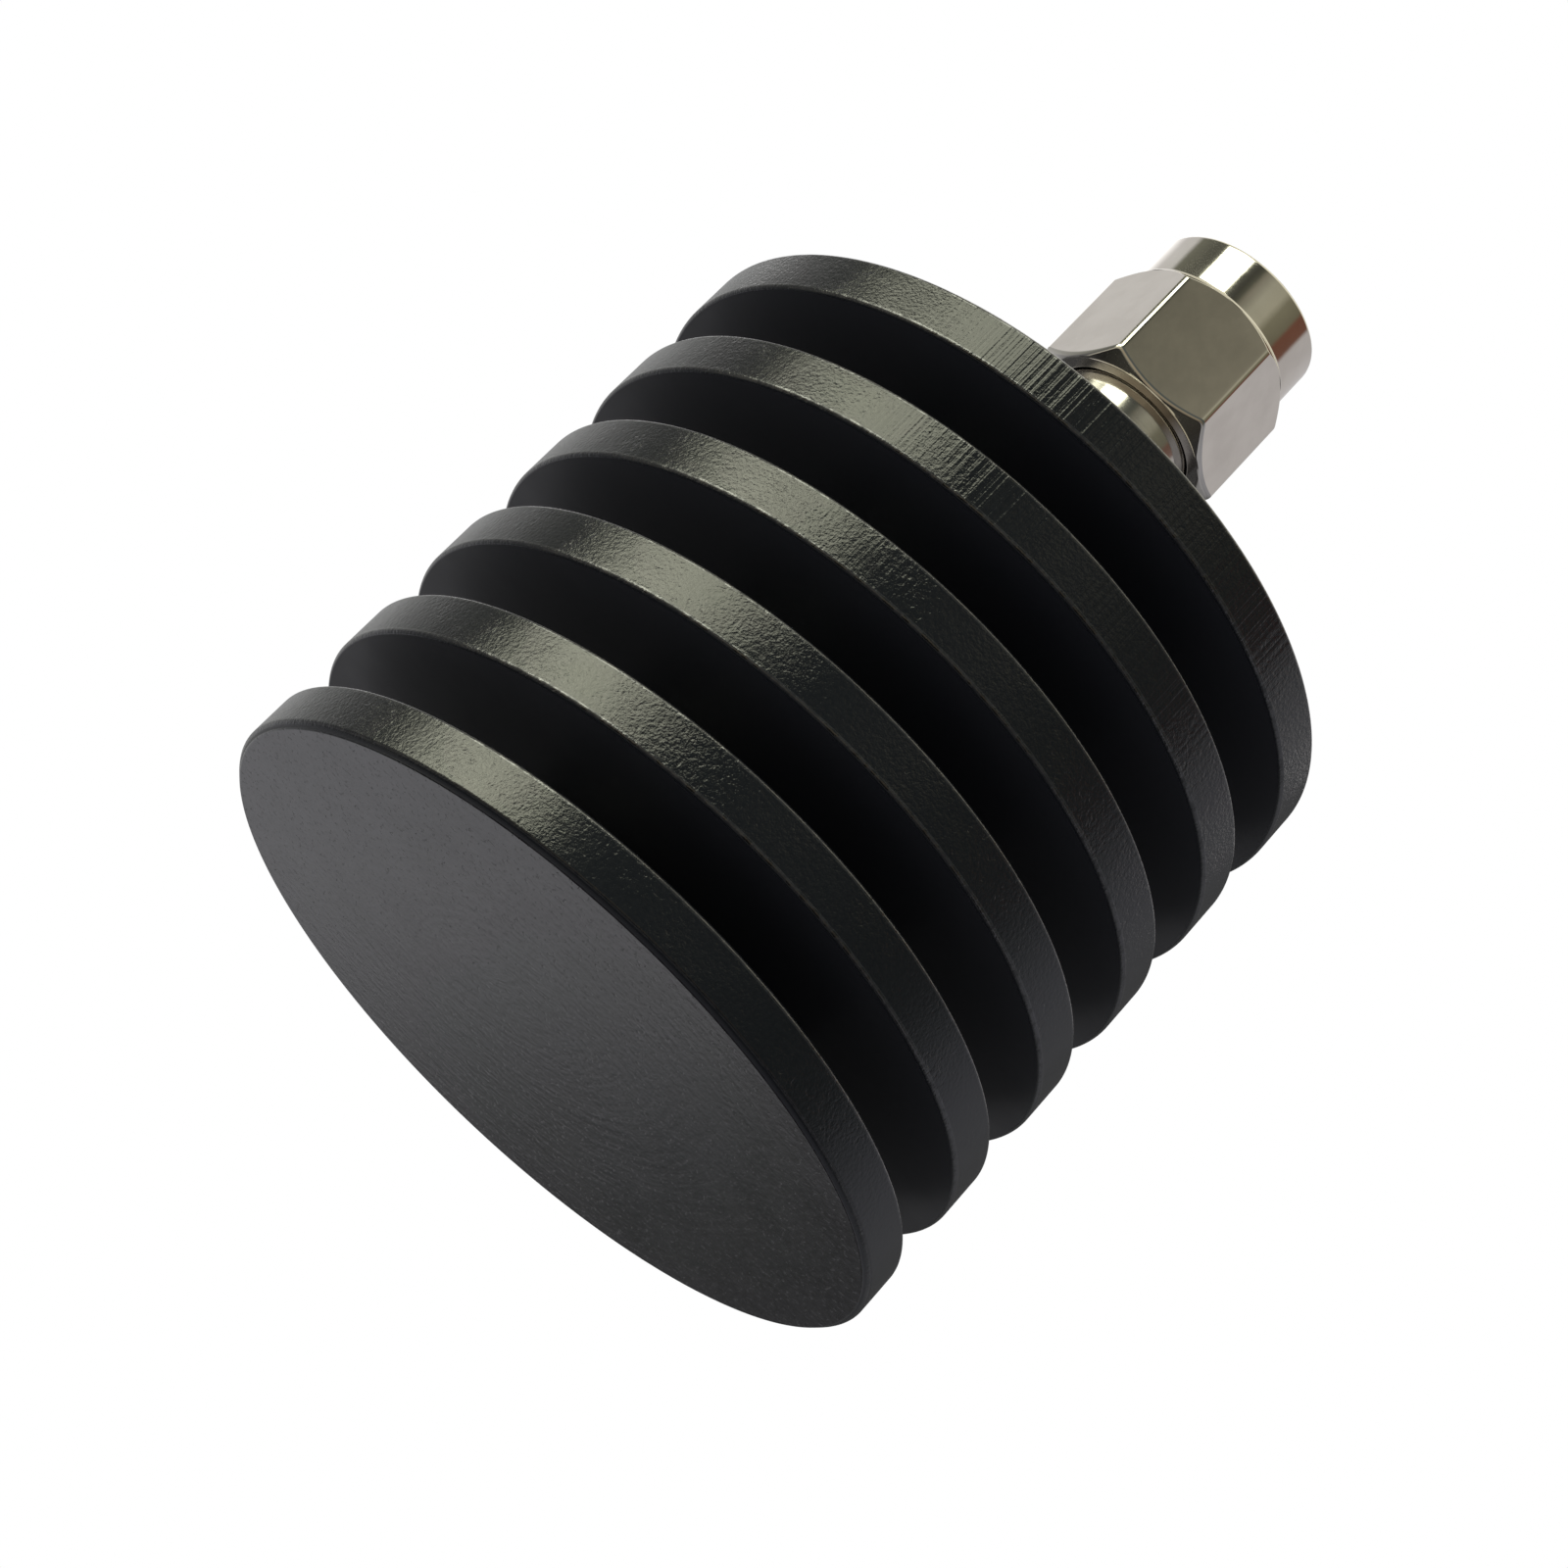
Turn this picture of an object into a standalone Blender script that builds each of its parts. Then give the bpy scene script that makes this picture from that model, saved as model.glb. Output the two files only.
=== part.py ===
"""Coaxial terminator: a finned heat sink around a resistive load, with a screw-on plug connector.

The closed end of the heat sink stands on z = 0 and the axis runs up +Z to the mouth of the
coupling nut. Every turned piece is a half section swept round that axis. A section is drawn
in the piece's own height, from its lowest face, and the object's location lifts it into place.
"""

import math

import bpy

MM = 0.001

# Heat sink, turned from one black anodised bar.
FIN_COUNT = 6
FIN_DIAMETER = 31.0 * MM
FIN_THICKNESS = 2.15 * MM
GROOVE_WIDTH = 2.90 * MM
GROOVE_ROOT_RADIUS = 0.50 * MM
FIN_EDGE_CHAMFER = 0.12 * MM
CLOSED_FACE_CHAMFER = 0.25 * MM
CORE_WALL = 2.50 * MM
CLOSED_END_WALL = 4.00 * MM
BORE_MOUTH_CHAMFER = 0.30 * MM

# Plug interface: the sleeve, the pin and the bore of the nut's thread.
SLEEVE_DIAMETER = 4.59 * MM
SLEEVE_WALL = 0.23 * MM
SLEEVE_LENGTH = 1.85 * MM
PIN_DIAMETER = 0.92 * MM
PIN_REACH = 2.10 * MM
PIN_POINT_LENGTH = 0.45 * MM
PIN_POINT_DIAMETER = 0.36 * MM
THREAD_BORE_DIAMETER = 5.60 * MM

# Coupling nut: hexagon behind, round nose in front.
NUT_LENGTH = 8.15 * MM
HEX_LENGTH = 5.75 * MM
HEX_CORNER_TURNING = 0.06 * MM
NUT_WALL_OVER_RING = 0.40 * MM
NUT_REAR_LIP = 1.20 * MM
NUT_REAR_FACE_INSET = 0.10 * MM
NUT_REAR_CHAMFER_ANGLE = math.radians(38.0)
NUT_FRONT_CHAMFER_ANGLE = math.radians(45.0)
NOSE_RELIEF = 0.05 * MM
NOSE_EDGE = 0.20 * MM
MOUTH_CHAMFER = 0.45 * MM
THREAD_STEP = 0.50 * MM
THREAD_RUNOUT = 0.25 * MM

# Retaining ring and the free play that it leaves the nut along the axis.
RING_THICKNESS = 0.50 * MM
RING_WIDTH = 0.60 * MM
RING_BITE_IN_NUT = 0.30 * MM
RING_SPLIT = 1.60 * MM
RING_LAND = 0.92 * MM
NUT_PLAY = 0.30 * MM

# Connector body between the nut and the heat sink.
NECK_LENGTH = 7.00 * MM
NECK_FILLET = 0.80 * MM
SHOULDER_THICKNESS = 1.50 * MM
SHOULDER_OVERHANG = 2.00 * MM
SHOULDER_CHAMFER = 0.20 * MM
SPANNER_FLAT_DEPTH = 0.78 * MM
SPANNER_FLAT_LAND = 0.45 * MM
SPIGOT_LENGTH = 7.50 * MM
SPIGOT_LEDGE = 0.50 * MM
SPIGOT_UNDERCUT_DEPTH = 0.35 * MM
SPIGOT_UNDERCUT_WIDTH = 0.80 * MM
SPIGOT_LEAD_CHAMFER = 0.30 * MM
REAR_BORE_STEP = 0.55 * MM
SMALL_EDGE = 0.06 * MM
BARREL_EDGE = 0.15 * MM

# Seal and insulators.
GASKET_THICKNESS = 0.80 * MM
GASKET_INSET = 0.12 * MM
GASKET_EDGE = 0.10 * MM
DIELECTRIC_LENGTH = 9.00 * MM
DIELECTRIC_FLANGE = 1.00 * MM
BEAD_THICKNESS = 1.50 * MM
BEAD_RECESS = 0.10 * MM

# Load in the heat sink: a film resistor rod between two caps, in a tapered sleeve.
ROD_DIAMETER = 3.00 * MM
ROD_EDGE = 0.10 * MM
CAP_WALL = 0.22 * MM
CAP_DEPTH = 1.50 * MM
CAP_FLOOR = 0.50 * MM
CAP_EDGE = 0.12 * MM
CAP_SOCKET_DEPTH = 1.20 * MM
CAP_TO_BEAD = 1.40 * MM
TAIL_DIAMETER = 1.50 * MM
TAPER_TOP_WALL = 0.50 * MM
TAPER_POINTS = 7
PLUG_FLOOR = 1.00 * MM
PLUG_SOCKET_DEPTH = 2.00 * MM
PLUG_EDGE = 0.20 * MM
SPRING_THICKNESS = 0.30 * MM
SPRING_CONE = 0.30 * MM
SPRING_RIM_GAP = 0.30 * MM
SPRING_HOLE_DIAMETER = 3.20 * MM

# Clearances.
SEAT_GAP = 0.03 * MM
FIT_GAP = 0.03 * MM
RUNNING_CLEARANCE = 0.05 * MM

# Ratios of outer to inner radius of a 50 ohm line, in air and in the plug's insulator.
AIR_LINE_RATIO = 2.30
INSULATED_LINE_RATIO = 3.25

# Facets round the axis, in multiples of twelve so that the nut meets itself every 30 degrees.
HEAT_SINK_STEPS = 60
CONNECTOR_STEPS = 48
INNER_STEPS = 24
ARC_POINTS = 3
MERGE_DISTANCE = 0.001 * MM
CUTTER_MARGIN = 1.0 * MM

# Radii that follow from the interface, worked outwards from the thread to the hexagon.
SLEEVE_RADIUS = SLEEVE_DIAMETER / 2
FRONT_BORE_RADIUS = SLEEVE_RADIUS - SLEEVE_WALL
REAR_BORE_RADIUS = FRONT_BORE_RADIUS + REAR_BORE_STEP
THREAD_BORE_RADIUS = THREAD_BORE_DIAMETER / 2
NUT_BORE_RADIUS = THREAD_BORE_RADIUS + THREAD_STEP
BARREL_RADIUS = NUT_BORE_RADIUS - RUNNING_CLEARANCE
RING_SLOT_RADIUS = NUT_BORE_RADIUS + RING_BITE_IN_NUT
HEX_APOTHEM = RING_SLOT_RADIUS + NUT_WALL_OVER_RING
HEX_CORNER_RADIUS = HEX_APOTHEM / math.cos(math.pi / 6) - HEX_CORNER_TURNING
NOSE_RADIUS = HEX_APOTHEM - NOSE_RELIEF
RING_OUTER_RADIUS = RING_SLOT_RADIUS - RUNNING_CLEARANCE
RING_INNER_RADIUS = RING_OUTER_RADIUS - RING_WIDTH
RING_GROOVE_RADIUS = BARREL_RADIUS - RING_WIDTH - RUNNING_CLEARANCE

# Radii that follow from the load, worked outwards from the rod to the heat sink's core.
ROD_RADIUS = ROD_DIAMETER / 2
TAIL_RADIUS = TAIL_DIAMETER / 2
CAP_RADIUS = ROD_RADIUS + FIT_GAP + CAP_WALL
TAPER_TOP_RADIUS = ROD_RADIUS * AIR_LINE_RATIO
TAPER_FOOT_RADIUS = CAP_RADIUS + FIT_GAP
LOAD_BORE_RADIUS = TAPER_TOP_RADIUS + TAPER_TOP_WALL + FIT_GAP
SPIGOT_HOLE_RADIUS = LOAD_BORE_RADIUS + SPIGOT_LEDGE
SPIGOT_RADIUS = SPIGOT_HOLE_RADIUS - FIT_GAP
SHOULDER_RADIUS = SPIGOT_HOLE_RADIUS + BORE_MOUTH_CHAMFER + SHOULDER_OVERHANG
CORE_RADIUS = SPIGOT_HOLE_RADIUS + CORE_WALL
FIN_RADIUS = FIN_DIAMETER / 2

# Heights above the closed face, from the heat sink up to the tip of the nut.
FIN_PITCH = FIN_THICKNESS + GROOVE_WIDTH
BACK_FACE_Z = (FIN_COUNT - 1) * FIN_PITCH + FIN_THICKNESS
SHOULDER_Z = BACK_FACE_Z + SEAT_GAP
SPIGOT_END_Z = SHOULDER_Z - SPIGOT_LENGTH
LEDGE_Z = SPIGOT_END_Z - SEAT_GAP
NECK_Z = SHOULDER_Z + SHOULDER_THICKNESS
NUT_Z = NECK_Z + NECK_LENGTH
RING_SLOT_HEIGHT = RING_THICKNESS + 2 * RUNNING_CLEARANCE
RING_Z = NUT_Z + NUT_REAR_LIP + RUNNING_CLEARANCE
BARREL_END_Z = NUT_Z + NUT_REAR_LIP + RING_SLOT_HEIGHT + NUT_PLAY + RING_LAND
REFERENCE_Z = BARREL_END_Z + SLEEVE_LENGTH
BORE_STEP_Z = REFERENCE_Z - DIELECTRIC_LENGTH
BEAD_Z = SPIGOT_END_Z + BEAD_RECESS

# Heights of the load's pieces, stacked up from the floor of the bore.
SPRING_Z = CLOSED_END_WALL + SEAT_GAP
PLUG_Z = SPRING_Z + SPRING_CONE + SPRING_THICKNESS + SEAT_GAP
TAPER_Z = PLUG_Z + PLUG_FLOOR + PLUG_SOCKET_DEPTH + SEAT_GAP
REAR_CAP_Z = PLUG_Z + PLUG_FLOOR + SEAT_GAP
ROD_Z = REAR_CAP_Z + CAP_FLOOR + SEAT_GAP
FRONT_CAP_TOP_Z = BEAD_Z - CAP_TO_BEAD
ROD_TOP_Z = FRONT_CAP_TOP_Z - CAP_SOCKET_DEPTH - CAP_FLOOR - SEAT_GAP
TAIL_Z = ROD_TOP_Z + 2 * SEAT_GAP + CAP_FLOOR


def clear_scene():
    """Remove whatever the file opened with."""
    for obj in list(bpy.data.objects):
        bpy.data.objects.remove(obj, do_unlink=True)


def make_collection(name):
    collection = bpy.data.collections.new(name)
    bpy.context.scene.collection.children.link(collection)
    return collection


def make_material(name, colour, roughness, metallic):
    material = bpy.data.materials.new(name)
    material.use_nodes = True
    shader = material.node_tree.nodes["Principled BSDF"]
    shader.inputs["Base Color"].default_value = (*colour, 1.0)
    shader.inputs["Roughness"].default_value = roughness
    shader.inputs["Metallic"].default_value = metallic
    return material


def arc(centre, radius, start, end, points=ARC_POINTS):
    """Points on a section's arc, from one angle to the other in degrees, ends included."""
    angles = [math.radians(start + (end - start) * i / (points - 1)) for i in range(points)]
    return [(centre[0] + radius * math.cos(a), centre[1] + radius * math.sin(a)) for a in angles]


def turned(name, section, steps, collection, material, z=0.0, ring=False):
    """Sweep a half section of (radius, height) points round the axis.

    The section runs down its outer side. It starts and ends on the axis, or closes on itself
    where the piece has a hole right through and ring is set.
    """
    count = len(section)
    edges = [(i, i + 1) for i in range(count - 1)]
    if ring:
        edges.append((count - 1, 0))
    mesh = bpy.data.meshes.new(name)
    mesh.from_pydata([(radius, 0.0, height) for radius, height in section], edges, [])
    mesh.materials.append(material)
    obj = bpy.data.objects.new(name, mesh)
    obj.location.z = z
    collection.objects.link(obj)
    screw = obj.modifiers.new("Turning", 'SCREW')
    screw.axis = 'Z'
    screw.angle = math.tau
    screw.steps = steps
    screw.render_steps = steps
    screw.use_merge_vertices = True
    screw.merge_threshold = MERGE_DISTANCE
    screw.use_smooth_shade = False
    return obj


def as_cutter(obj, collection):
    """Move a shape made by an operator among the cutters, shown as wire only."""
    for holder in list(obj.users_collection):
        holder.objects.unlink(obj)
    collection.objects.link(obj)
    obj.display_type = 'WIRE'
    obj.hide_render = True
    return obj


def box_cutter(name, size, centre, collection):
    bpy.ops.mesh.primitive_cube_add(size=1.0, location=centre)
    box = bpy.context.object
    box.name = name
    box.scale = size
    bpy.ops.object.transform_apply(location=False, rotation=False, scale=True)
    return as_cutter(box, collection)


def cut(obj, cutter, operation='DIFFERENCE'):
    boolean = obj.modifiers.new(cutter.name, 'BOOLEAN')
    boolean.operation = operation
    boolean.solver = 'EXACT'
    boolean.object = cutter


def fin_outline(top, bottom, lower_chamfer):
    """The rim of one fin, from its upper edge to its lower edge."""
    return [
        (FIN_RADIUS - FIN_EDGE_CHAMFER, top),
        (FIN_RADIUS, top - FIN_EDGE_CHAMFER),
        (FIN_RADIUS, bottom + lower_chamfer),
        (FIN_RADIUS - lower_chamfer, bottom),
    ]


def groove_outline(top, bottom):
    """The rounded bottom of one groove, between the fin above it and the fin below."""
    centre_radius = CORE_RADIUS + GROOVE_ROOT_RADIUS
    upper = arc((centre_radius, top - GROOVE_ROOT_RADIUS), GROOVE_ROOT_RADIUS, 90, 180)
    lower = arc((centre_radius, bottom + GROOVE_ROOT_RADIUS), GROOVE_ROOT_RADIUS, 180, 270)
    return upper + lower


def heat_sink_section():
    """Blind stepped bore from the back face, then six fins down to the closed face."""
    section = [
        (0.0, CLOSED_END_WALL),
        (LOAD_BORE_RADIUS, CLOSED_END_WALL),
        (LOAD_BORE_RADIUS, LEDGE_Z),
        (SPIGOT_HOLE_RADIUS, LEDGE_Z),
        (SPIGOT_HOLE_RADIUS, BACK_FACE_Z - BORE_MOUTH_CHAMFER),
        (SPIGOT_HOLE_RADIUS + BORE_MOUTH_CHAMFER, BACK_FACE_Z),
    ]
    for fin in reversed(range(FIN_COUNT)):
        bottom = fin * FIN_PITCH
        top = bottom + FIN_THICKNESS
        is_closed_end = fin == 0
        section += fin_outline(top, bottom, CLOSED_FACE_CHAMFER if is_closed_end else FIN_EDGE_CHAMFER)
        if not is_closed_end:
            section += groove_outline(bottom, bottom - GROOVE_WIDTH)
    section.append((0.0, 0.0))
    return section


def connector_body_section():
    """Sleeve, barrel with the ring's groove, shoulder, and the spigot held by the heat sink."""
    reference = REFERENCE_Z - SPIGOT_END_Z
    barrel_end = BARREL_END_Z - SPIGOT_END_Z
    groove_bottom = RING_Z - RUNNING_CLEARANCE - SPIGOT_END_Z
    groove_top = groove_bottom + RING_SLOT_HEIGHT + NUT_PLAY
    neck = NECK_Z - SPIGOT_END_Z
    shoulder = SHOULDER_Z - SPIGOT_END_Z
    bore_step = BORE_STEP_Z - SPIGOT_END_Z
    fillet = arc((BARREL_RADIUS + NECK_FILLET, neck + NECK_FILLET), NECK_FILLET, 180, 270, 5)
    return [
        (SLEEVE_RADIUS - SMALL_EDGE, reference),
        (SLEEVE_RADIUS, reference - SMALL_EDGE),
        (SLEEVE_RADIUS, barrel_end),
        (BARREL_RADIUS - BARREL_EDGE, barrel_end),
        (BARREL_RADIUS, barrel_end - BARREL_EDGE),
        (BARREL_RADIUS, groove_top),
        (RING_GROOVE_RADIUS, groove_top),
        (RING_GROOVE_RADIUS, groove_bottom),
        (BARREL_RADIUS, groove_bottom),
        *fillet,
        (SHOULDER_RADIUS - SHOULDER_CHAMFER, neck),
        (SHOULDER_RADIUS, neck - SHOULDER_CHAMFER),
        (SHOULDER_RADIUS, shoulder),
        (SPIGOT_RADIUS - SPIGOT_UNDERCUT_DEPTH, shoulder),
        (SPIGOT_RADIUS - SPIGOT_UNDERCUT_DEPTH, shoulder - SPIGOT_UNDERCUT_WIDTH),
        (SPIGOT_RADIUS, shoulder - SPIGOT_UNDERCUT_WIDTH - SPIGOT_UNDERCUT_DEPTH),
        (SPIGOT_RADIUS, SPIGOT_LEAD_CHAMFER),
        (SPIGOT_RADIUS - SPIGOT_LEAD_CHAMFER, 0.0),
        (REAR_BORE_RADIUS, 0.0),
        (REAR_BORE_RADIUS, bore_step),
        (FRONT_BORE_RADIUS, bore_step),
        (FRONT_BORE_RADIUS, reference),
    ]


def coupling_nut_section():
    """The nut's blank before its six flats: chamfered bar behind, nose in front, bore with slot."""
    rear_face_radius = HEX_APOTHEM - NUT_REAR_FACE_INSET
    rear_chamfer = (HEX_CORNER_RADIUS - rear_face_radius) * math.tan(NUT_REAR_CHAMFER_ANGLE)
    front_chamfer = (HEX_CORNER_RADIUS - NOSE_RADIUS) * math.tan(NUT_FRONT_CHAMFER_ANGLE)
    slot_top = NUT_REAR_LIP + RING_SLOT_HEIGHT
    thread_start = BARREL_END_Z - NUT_Z + GASKET_THICKNESS + THREAD_RUNOUT
    return [
        (THREAD_BORE_RADIUS + MOUTH_CHAMFER, NUT_LENGTH),
        (NOSE_RADIUS - NOSE_EDGE, NUT_LENGTH),
        (NOSE_RADIUS, NUT_LENGTH - NOSE_EDGE),
        (NOSE_RADIUS, HEX_LENGTH),
        (HEX_CORNER_RADIUS, HEX_LENGTH - front_chamfer),
        (HEX_CORNER_RADIUS, rear_chamfer),
        (rear_face_radius, 0.0),
        (NUT_BORE_RADIUS, 0.0),
        (NUT_BORE_RADIUS, NUT_REAR_LIP),
        (RING_SLOT_RADIUS, NUT_REAR_LIP),
        (RING_SLOT_RADIUS, slot_top),
        (NUT_BORE_RADIUS, slot_top),
        (NUT_BORE_RADIUS, thread_start),
        (THREAD_BORE_RADIUS, thread_start + THREAD_STEP),
        (THREAD_BORE_RADIUS, NUT_LENGTH - MOUTH_CHAMFER),
    ]


def ring_section(inner, outer, height, edge=0.0):
    """A rectangle with its two outer edges and two inner edges broken, for a plain ring."""
    if edge == 0.0:
        return [(outer, height), (outer, 0.0), (inner, 0.0), (inner, height)]
    return [
        (outer - edge, height),
        (outer, height - edge),
        (outer, edge),
        (outer - edge, 0.0),
        (inner + edge, 0.0),
        (inner, edge),
        (inner, height - edge),
        (inner + edge, height),
    ]


def dielectric_section():
    """Insulator with the flange that stops it at the step in the body's bore."""
    hole = FRONT_BORE_RADIUS / INSULATED_LINE_RATIO + FIT_GAP
    front = FRONT_BORE_RADIUS - FIT_GAP
    flange = REAR_BORE_RADIUS - FIT_GAP
    flange_top = DIELECTRIC_FLANGE
    top = flange_top + SEAT_GAP + DIELECTRIC_LENGTH
    return [(front, top), (front, flange_top), (flange, flange_top), (flange, 0.0), (hole, 0.0), (hole, top)]


def centre_contact_section():
    """Pin, stem in the insulator, thicker stem in air, and the tail that the load's cap takes."""
    insulated = FRONT_BORE_RADIUS / INSULATED_LINE_RATIO
    in_air = REAR_BORE_RADIUS / AIR_LINE_RATIO
    tip = REFERENCE_Z + PIN_REACH - TAIL_Z
    reference = REFERENCE_Z - TAIL_Z
    air_top = BORE_STEP_Z - DIELECTRIC_FLANGE - 2 * SEAT_GAP - TAIL_Z
    air_bottom = BEAD_Z + BEAD_THICKNESS + SEAT_GAP - TAIL_Z
    return [
        (0.0, tip),
        (PIN_POINT_DIAMETER / 2, tip),
        (PIN_DIAMETER / 2, tip - PIN_POINT_LENGTH),
        (PIN_DIAMETER / 2, reference),
        (insulated, reference),
        (insulated, air_top),
        (in_air, air_top),
        (in_air, air_bottom),
        (TAIL_RADIUS, air_bottom),
        (TAIL_RADIUS, CAP_EDGE),
        (TAIL_RADIUS - CAP_EDGE, 0.0),
        (0.0, 0.0),
    ]


def front_cap_section():
    """Cap on the rod's upper end, with a socket for the centre contact's tail above its floor."""
    rod_hole = ROD_RADIUS + FIT_GAP
    tail_hole = TAIL_RADIUS + FIT_GAP
    floor_bottom = CAP_DEPTH + SEAT_GAP
    floor_top = floor_bottom + CAP_FLOOR
    top = floor_top + CAP_SOCKET_DEPTH
    return [
        (0.0, floor_top),
        (tail_hole, floor_top),
        (tail_hole, top),
        (CAP_RADIUS - CAP_EDGE, top),
        (CAP_RADIUS, top - CAP_EDGE),
        (CAP_RADIUS, 0.0),
        (rod_hole, 0.0),
        (rod_hole, floor_bottom),
        (0.0, floor_bottom),
    ]


def rear_cap_section():
    """Plain cup on the rod's lower end."""
    rod_hole = ROD_RADIUS + FIT_GAP
    top = CAP_FLOOR + SEAT_GAP + CAP_DEPTH
    return [
        (0.0, CAP_FLOOR),
        (rod_hole, CAP_FLOOR),
        (rod_hole, top),
        (CAP_RADIUS, top),
        (CAP_RADIUS, CAP_EDGE),
        (CAP_RADIUS - CAP_EDGE, 0.0),
        (0.0, 0.0),
    ]


def resistor_rod_section():
    length = ROD_TOP_Z - ROD_Z
    return [
        (0.0, length),
        (ROD_RADIUS - ROD_EDGE, length),
        (ROD_RADIUS, length - ROD_EDGE),
        (ROD_RADIUS, ROD_EDGE),
        (ROD_RADIUS - ROD_EDGE, 0.0),
        (0.0, 0.0),
    ]


def taper_sleeve_section():
    """Outer wall of the load, whose bore narrows evenly in ratio towards the earthed end."""
    length = LEDGE_Z - TAPER_Z
    outer = LOAD_BORE_RADIUS - FIT_GAP
    narrowing = TAPER_TOP_RADIUS / TAPER_FOOT_RADIUS
    shares = [i / (TAPER_POINTS - 1) for i in range(TAPER_POINTS)]
    bore = [(TAPER_FOOT_RADIUS * narrowing ** share, length * share) for share in shares]
    return [(outer, length), (outer, 0.0)] + bore


def ground_plug_section():
    """Disc that earths the rod, with a socket for the rear cap."""
    outer = LOAD_BORE_RADIUS - FIT_GAP
    socket = CAP_RADIUS + FIT_GAP
    top = PLUG_FLOOR + PLUG_SOCKET_DEPTH
    return [
        (0.0, PLUG_FLOOR),
        (socket, PLUG_FLOOR),
        (socket, top),
        (outer, top),
        (outer, PLUG_EDGE),
        (outer - PLUG_EDGE, 0.0),
        (0.0, 0.0),
    ]


def disc_spring_section():
    """Coned washer that keeps the load's stack pressed against the connector body."""
    outer = LOAD_BORE_RADIUS - SPRING_RIM_GAP
    inner = SPRING_HOLE_DIAMETER / 2
    return [
        (outer, SPRING_THICKNESS),
        (outer, 0.0),
        (inner, SPRING_CONE),
        (inner, SPRING_CONE + SPRING_THICKNESS),
    ]


def cut_spanner_flats(body, cutters):
    """Two flats on the body's shoulder, above a thin round land."""
    flat_x = SHOULDER_RADIUS - SPANNER_FLAT_DEPTH
    bottom = SHOULDER_Z + SPANNER_FLAT_LAND
    top = NECK_Z + CUTTER_MARGIN
    depth = SPANNER_FLAT_DEPTH + CUTTER_MARGIN
    width = 2 * (SHOULDER_RADIUS + CUTTER_MARGIN)
    for side, label in ((1, "right"), (-1, "left")):
        centre = (side * (flat_x + depth / 2), 0.0, (bottom + top) / 2)
        cut(body, box_cutter("spanner_flat_" + label, (depth, width, top - bottom), centre, cutters))


def cut_hexagon(nut, cutters):
    """Keep the blank only inside a six-sided bar, whose flats are square to the Y axis."""
    height = NUT_LENGTH + 2 * CUTTER_MARGIN
    bpy.ops.mesh.primitive_cylinder_add(
        vertices=6,
        radius=HEX_APOTHEM / math.cos(math.pi / 6),
        depth=height,
        location=(0.0, 0.0, NUT_Z + NUT_LENGTH / 2),
        rotation=(0.0, 0.0, math.pi / 6),
    )
    bar = bpy.context.object
    bar.name = "hexagon_bar"
    bpy.ops.object.transform_apply(location=False, rotation=True, scale=False)
    cut(nut, as_cutter(bar, cutters), 'INTERSECT')


def cut_ring_split(ring, cutters):
    """The gap that lets the retaining ring spring open."""
    length = RING_OUTER_RADIUS + CUTTER_MARGIN
    size = (RING_SPLIT, length, RING_THICKNESS + 2 * CUTTER_MARGIN)
    centre = (0.0, length / 2, RING_Z + RING_THICKNESS / 2)
    cut(ring, box_cutter("ring_split", size, centre, cutters))


def parent_at(children, name, z, collection):
    """Hang the moving pieces on an empty that sits on their common axis."""
    carrier = bpy.data.objects.new(name, None)
    carrier.location.z = z
    collection.objects.link(carrier)
    for child in children:
        child.parent = carrier
        child.location.z -= z


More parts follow.
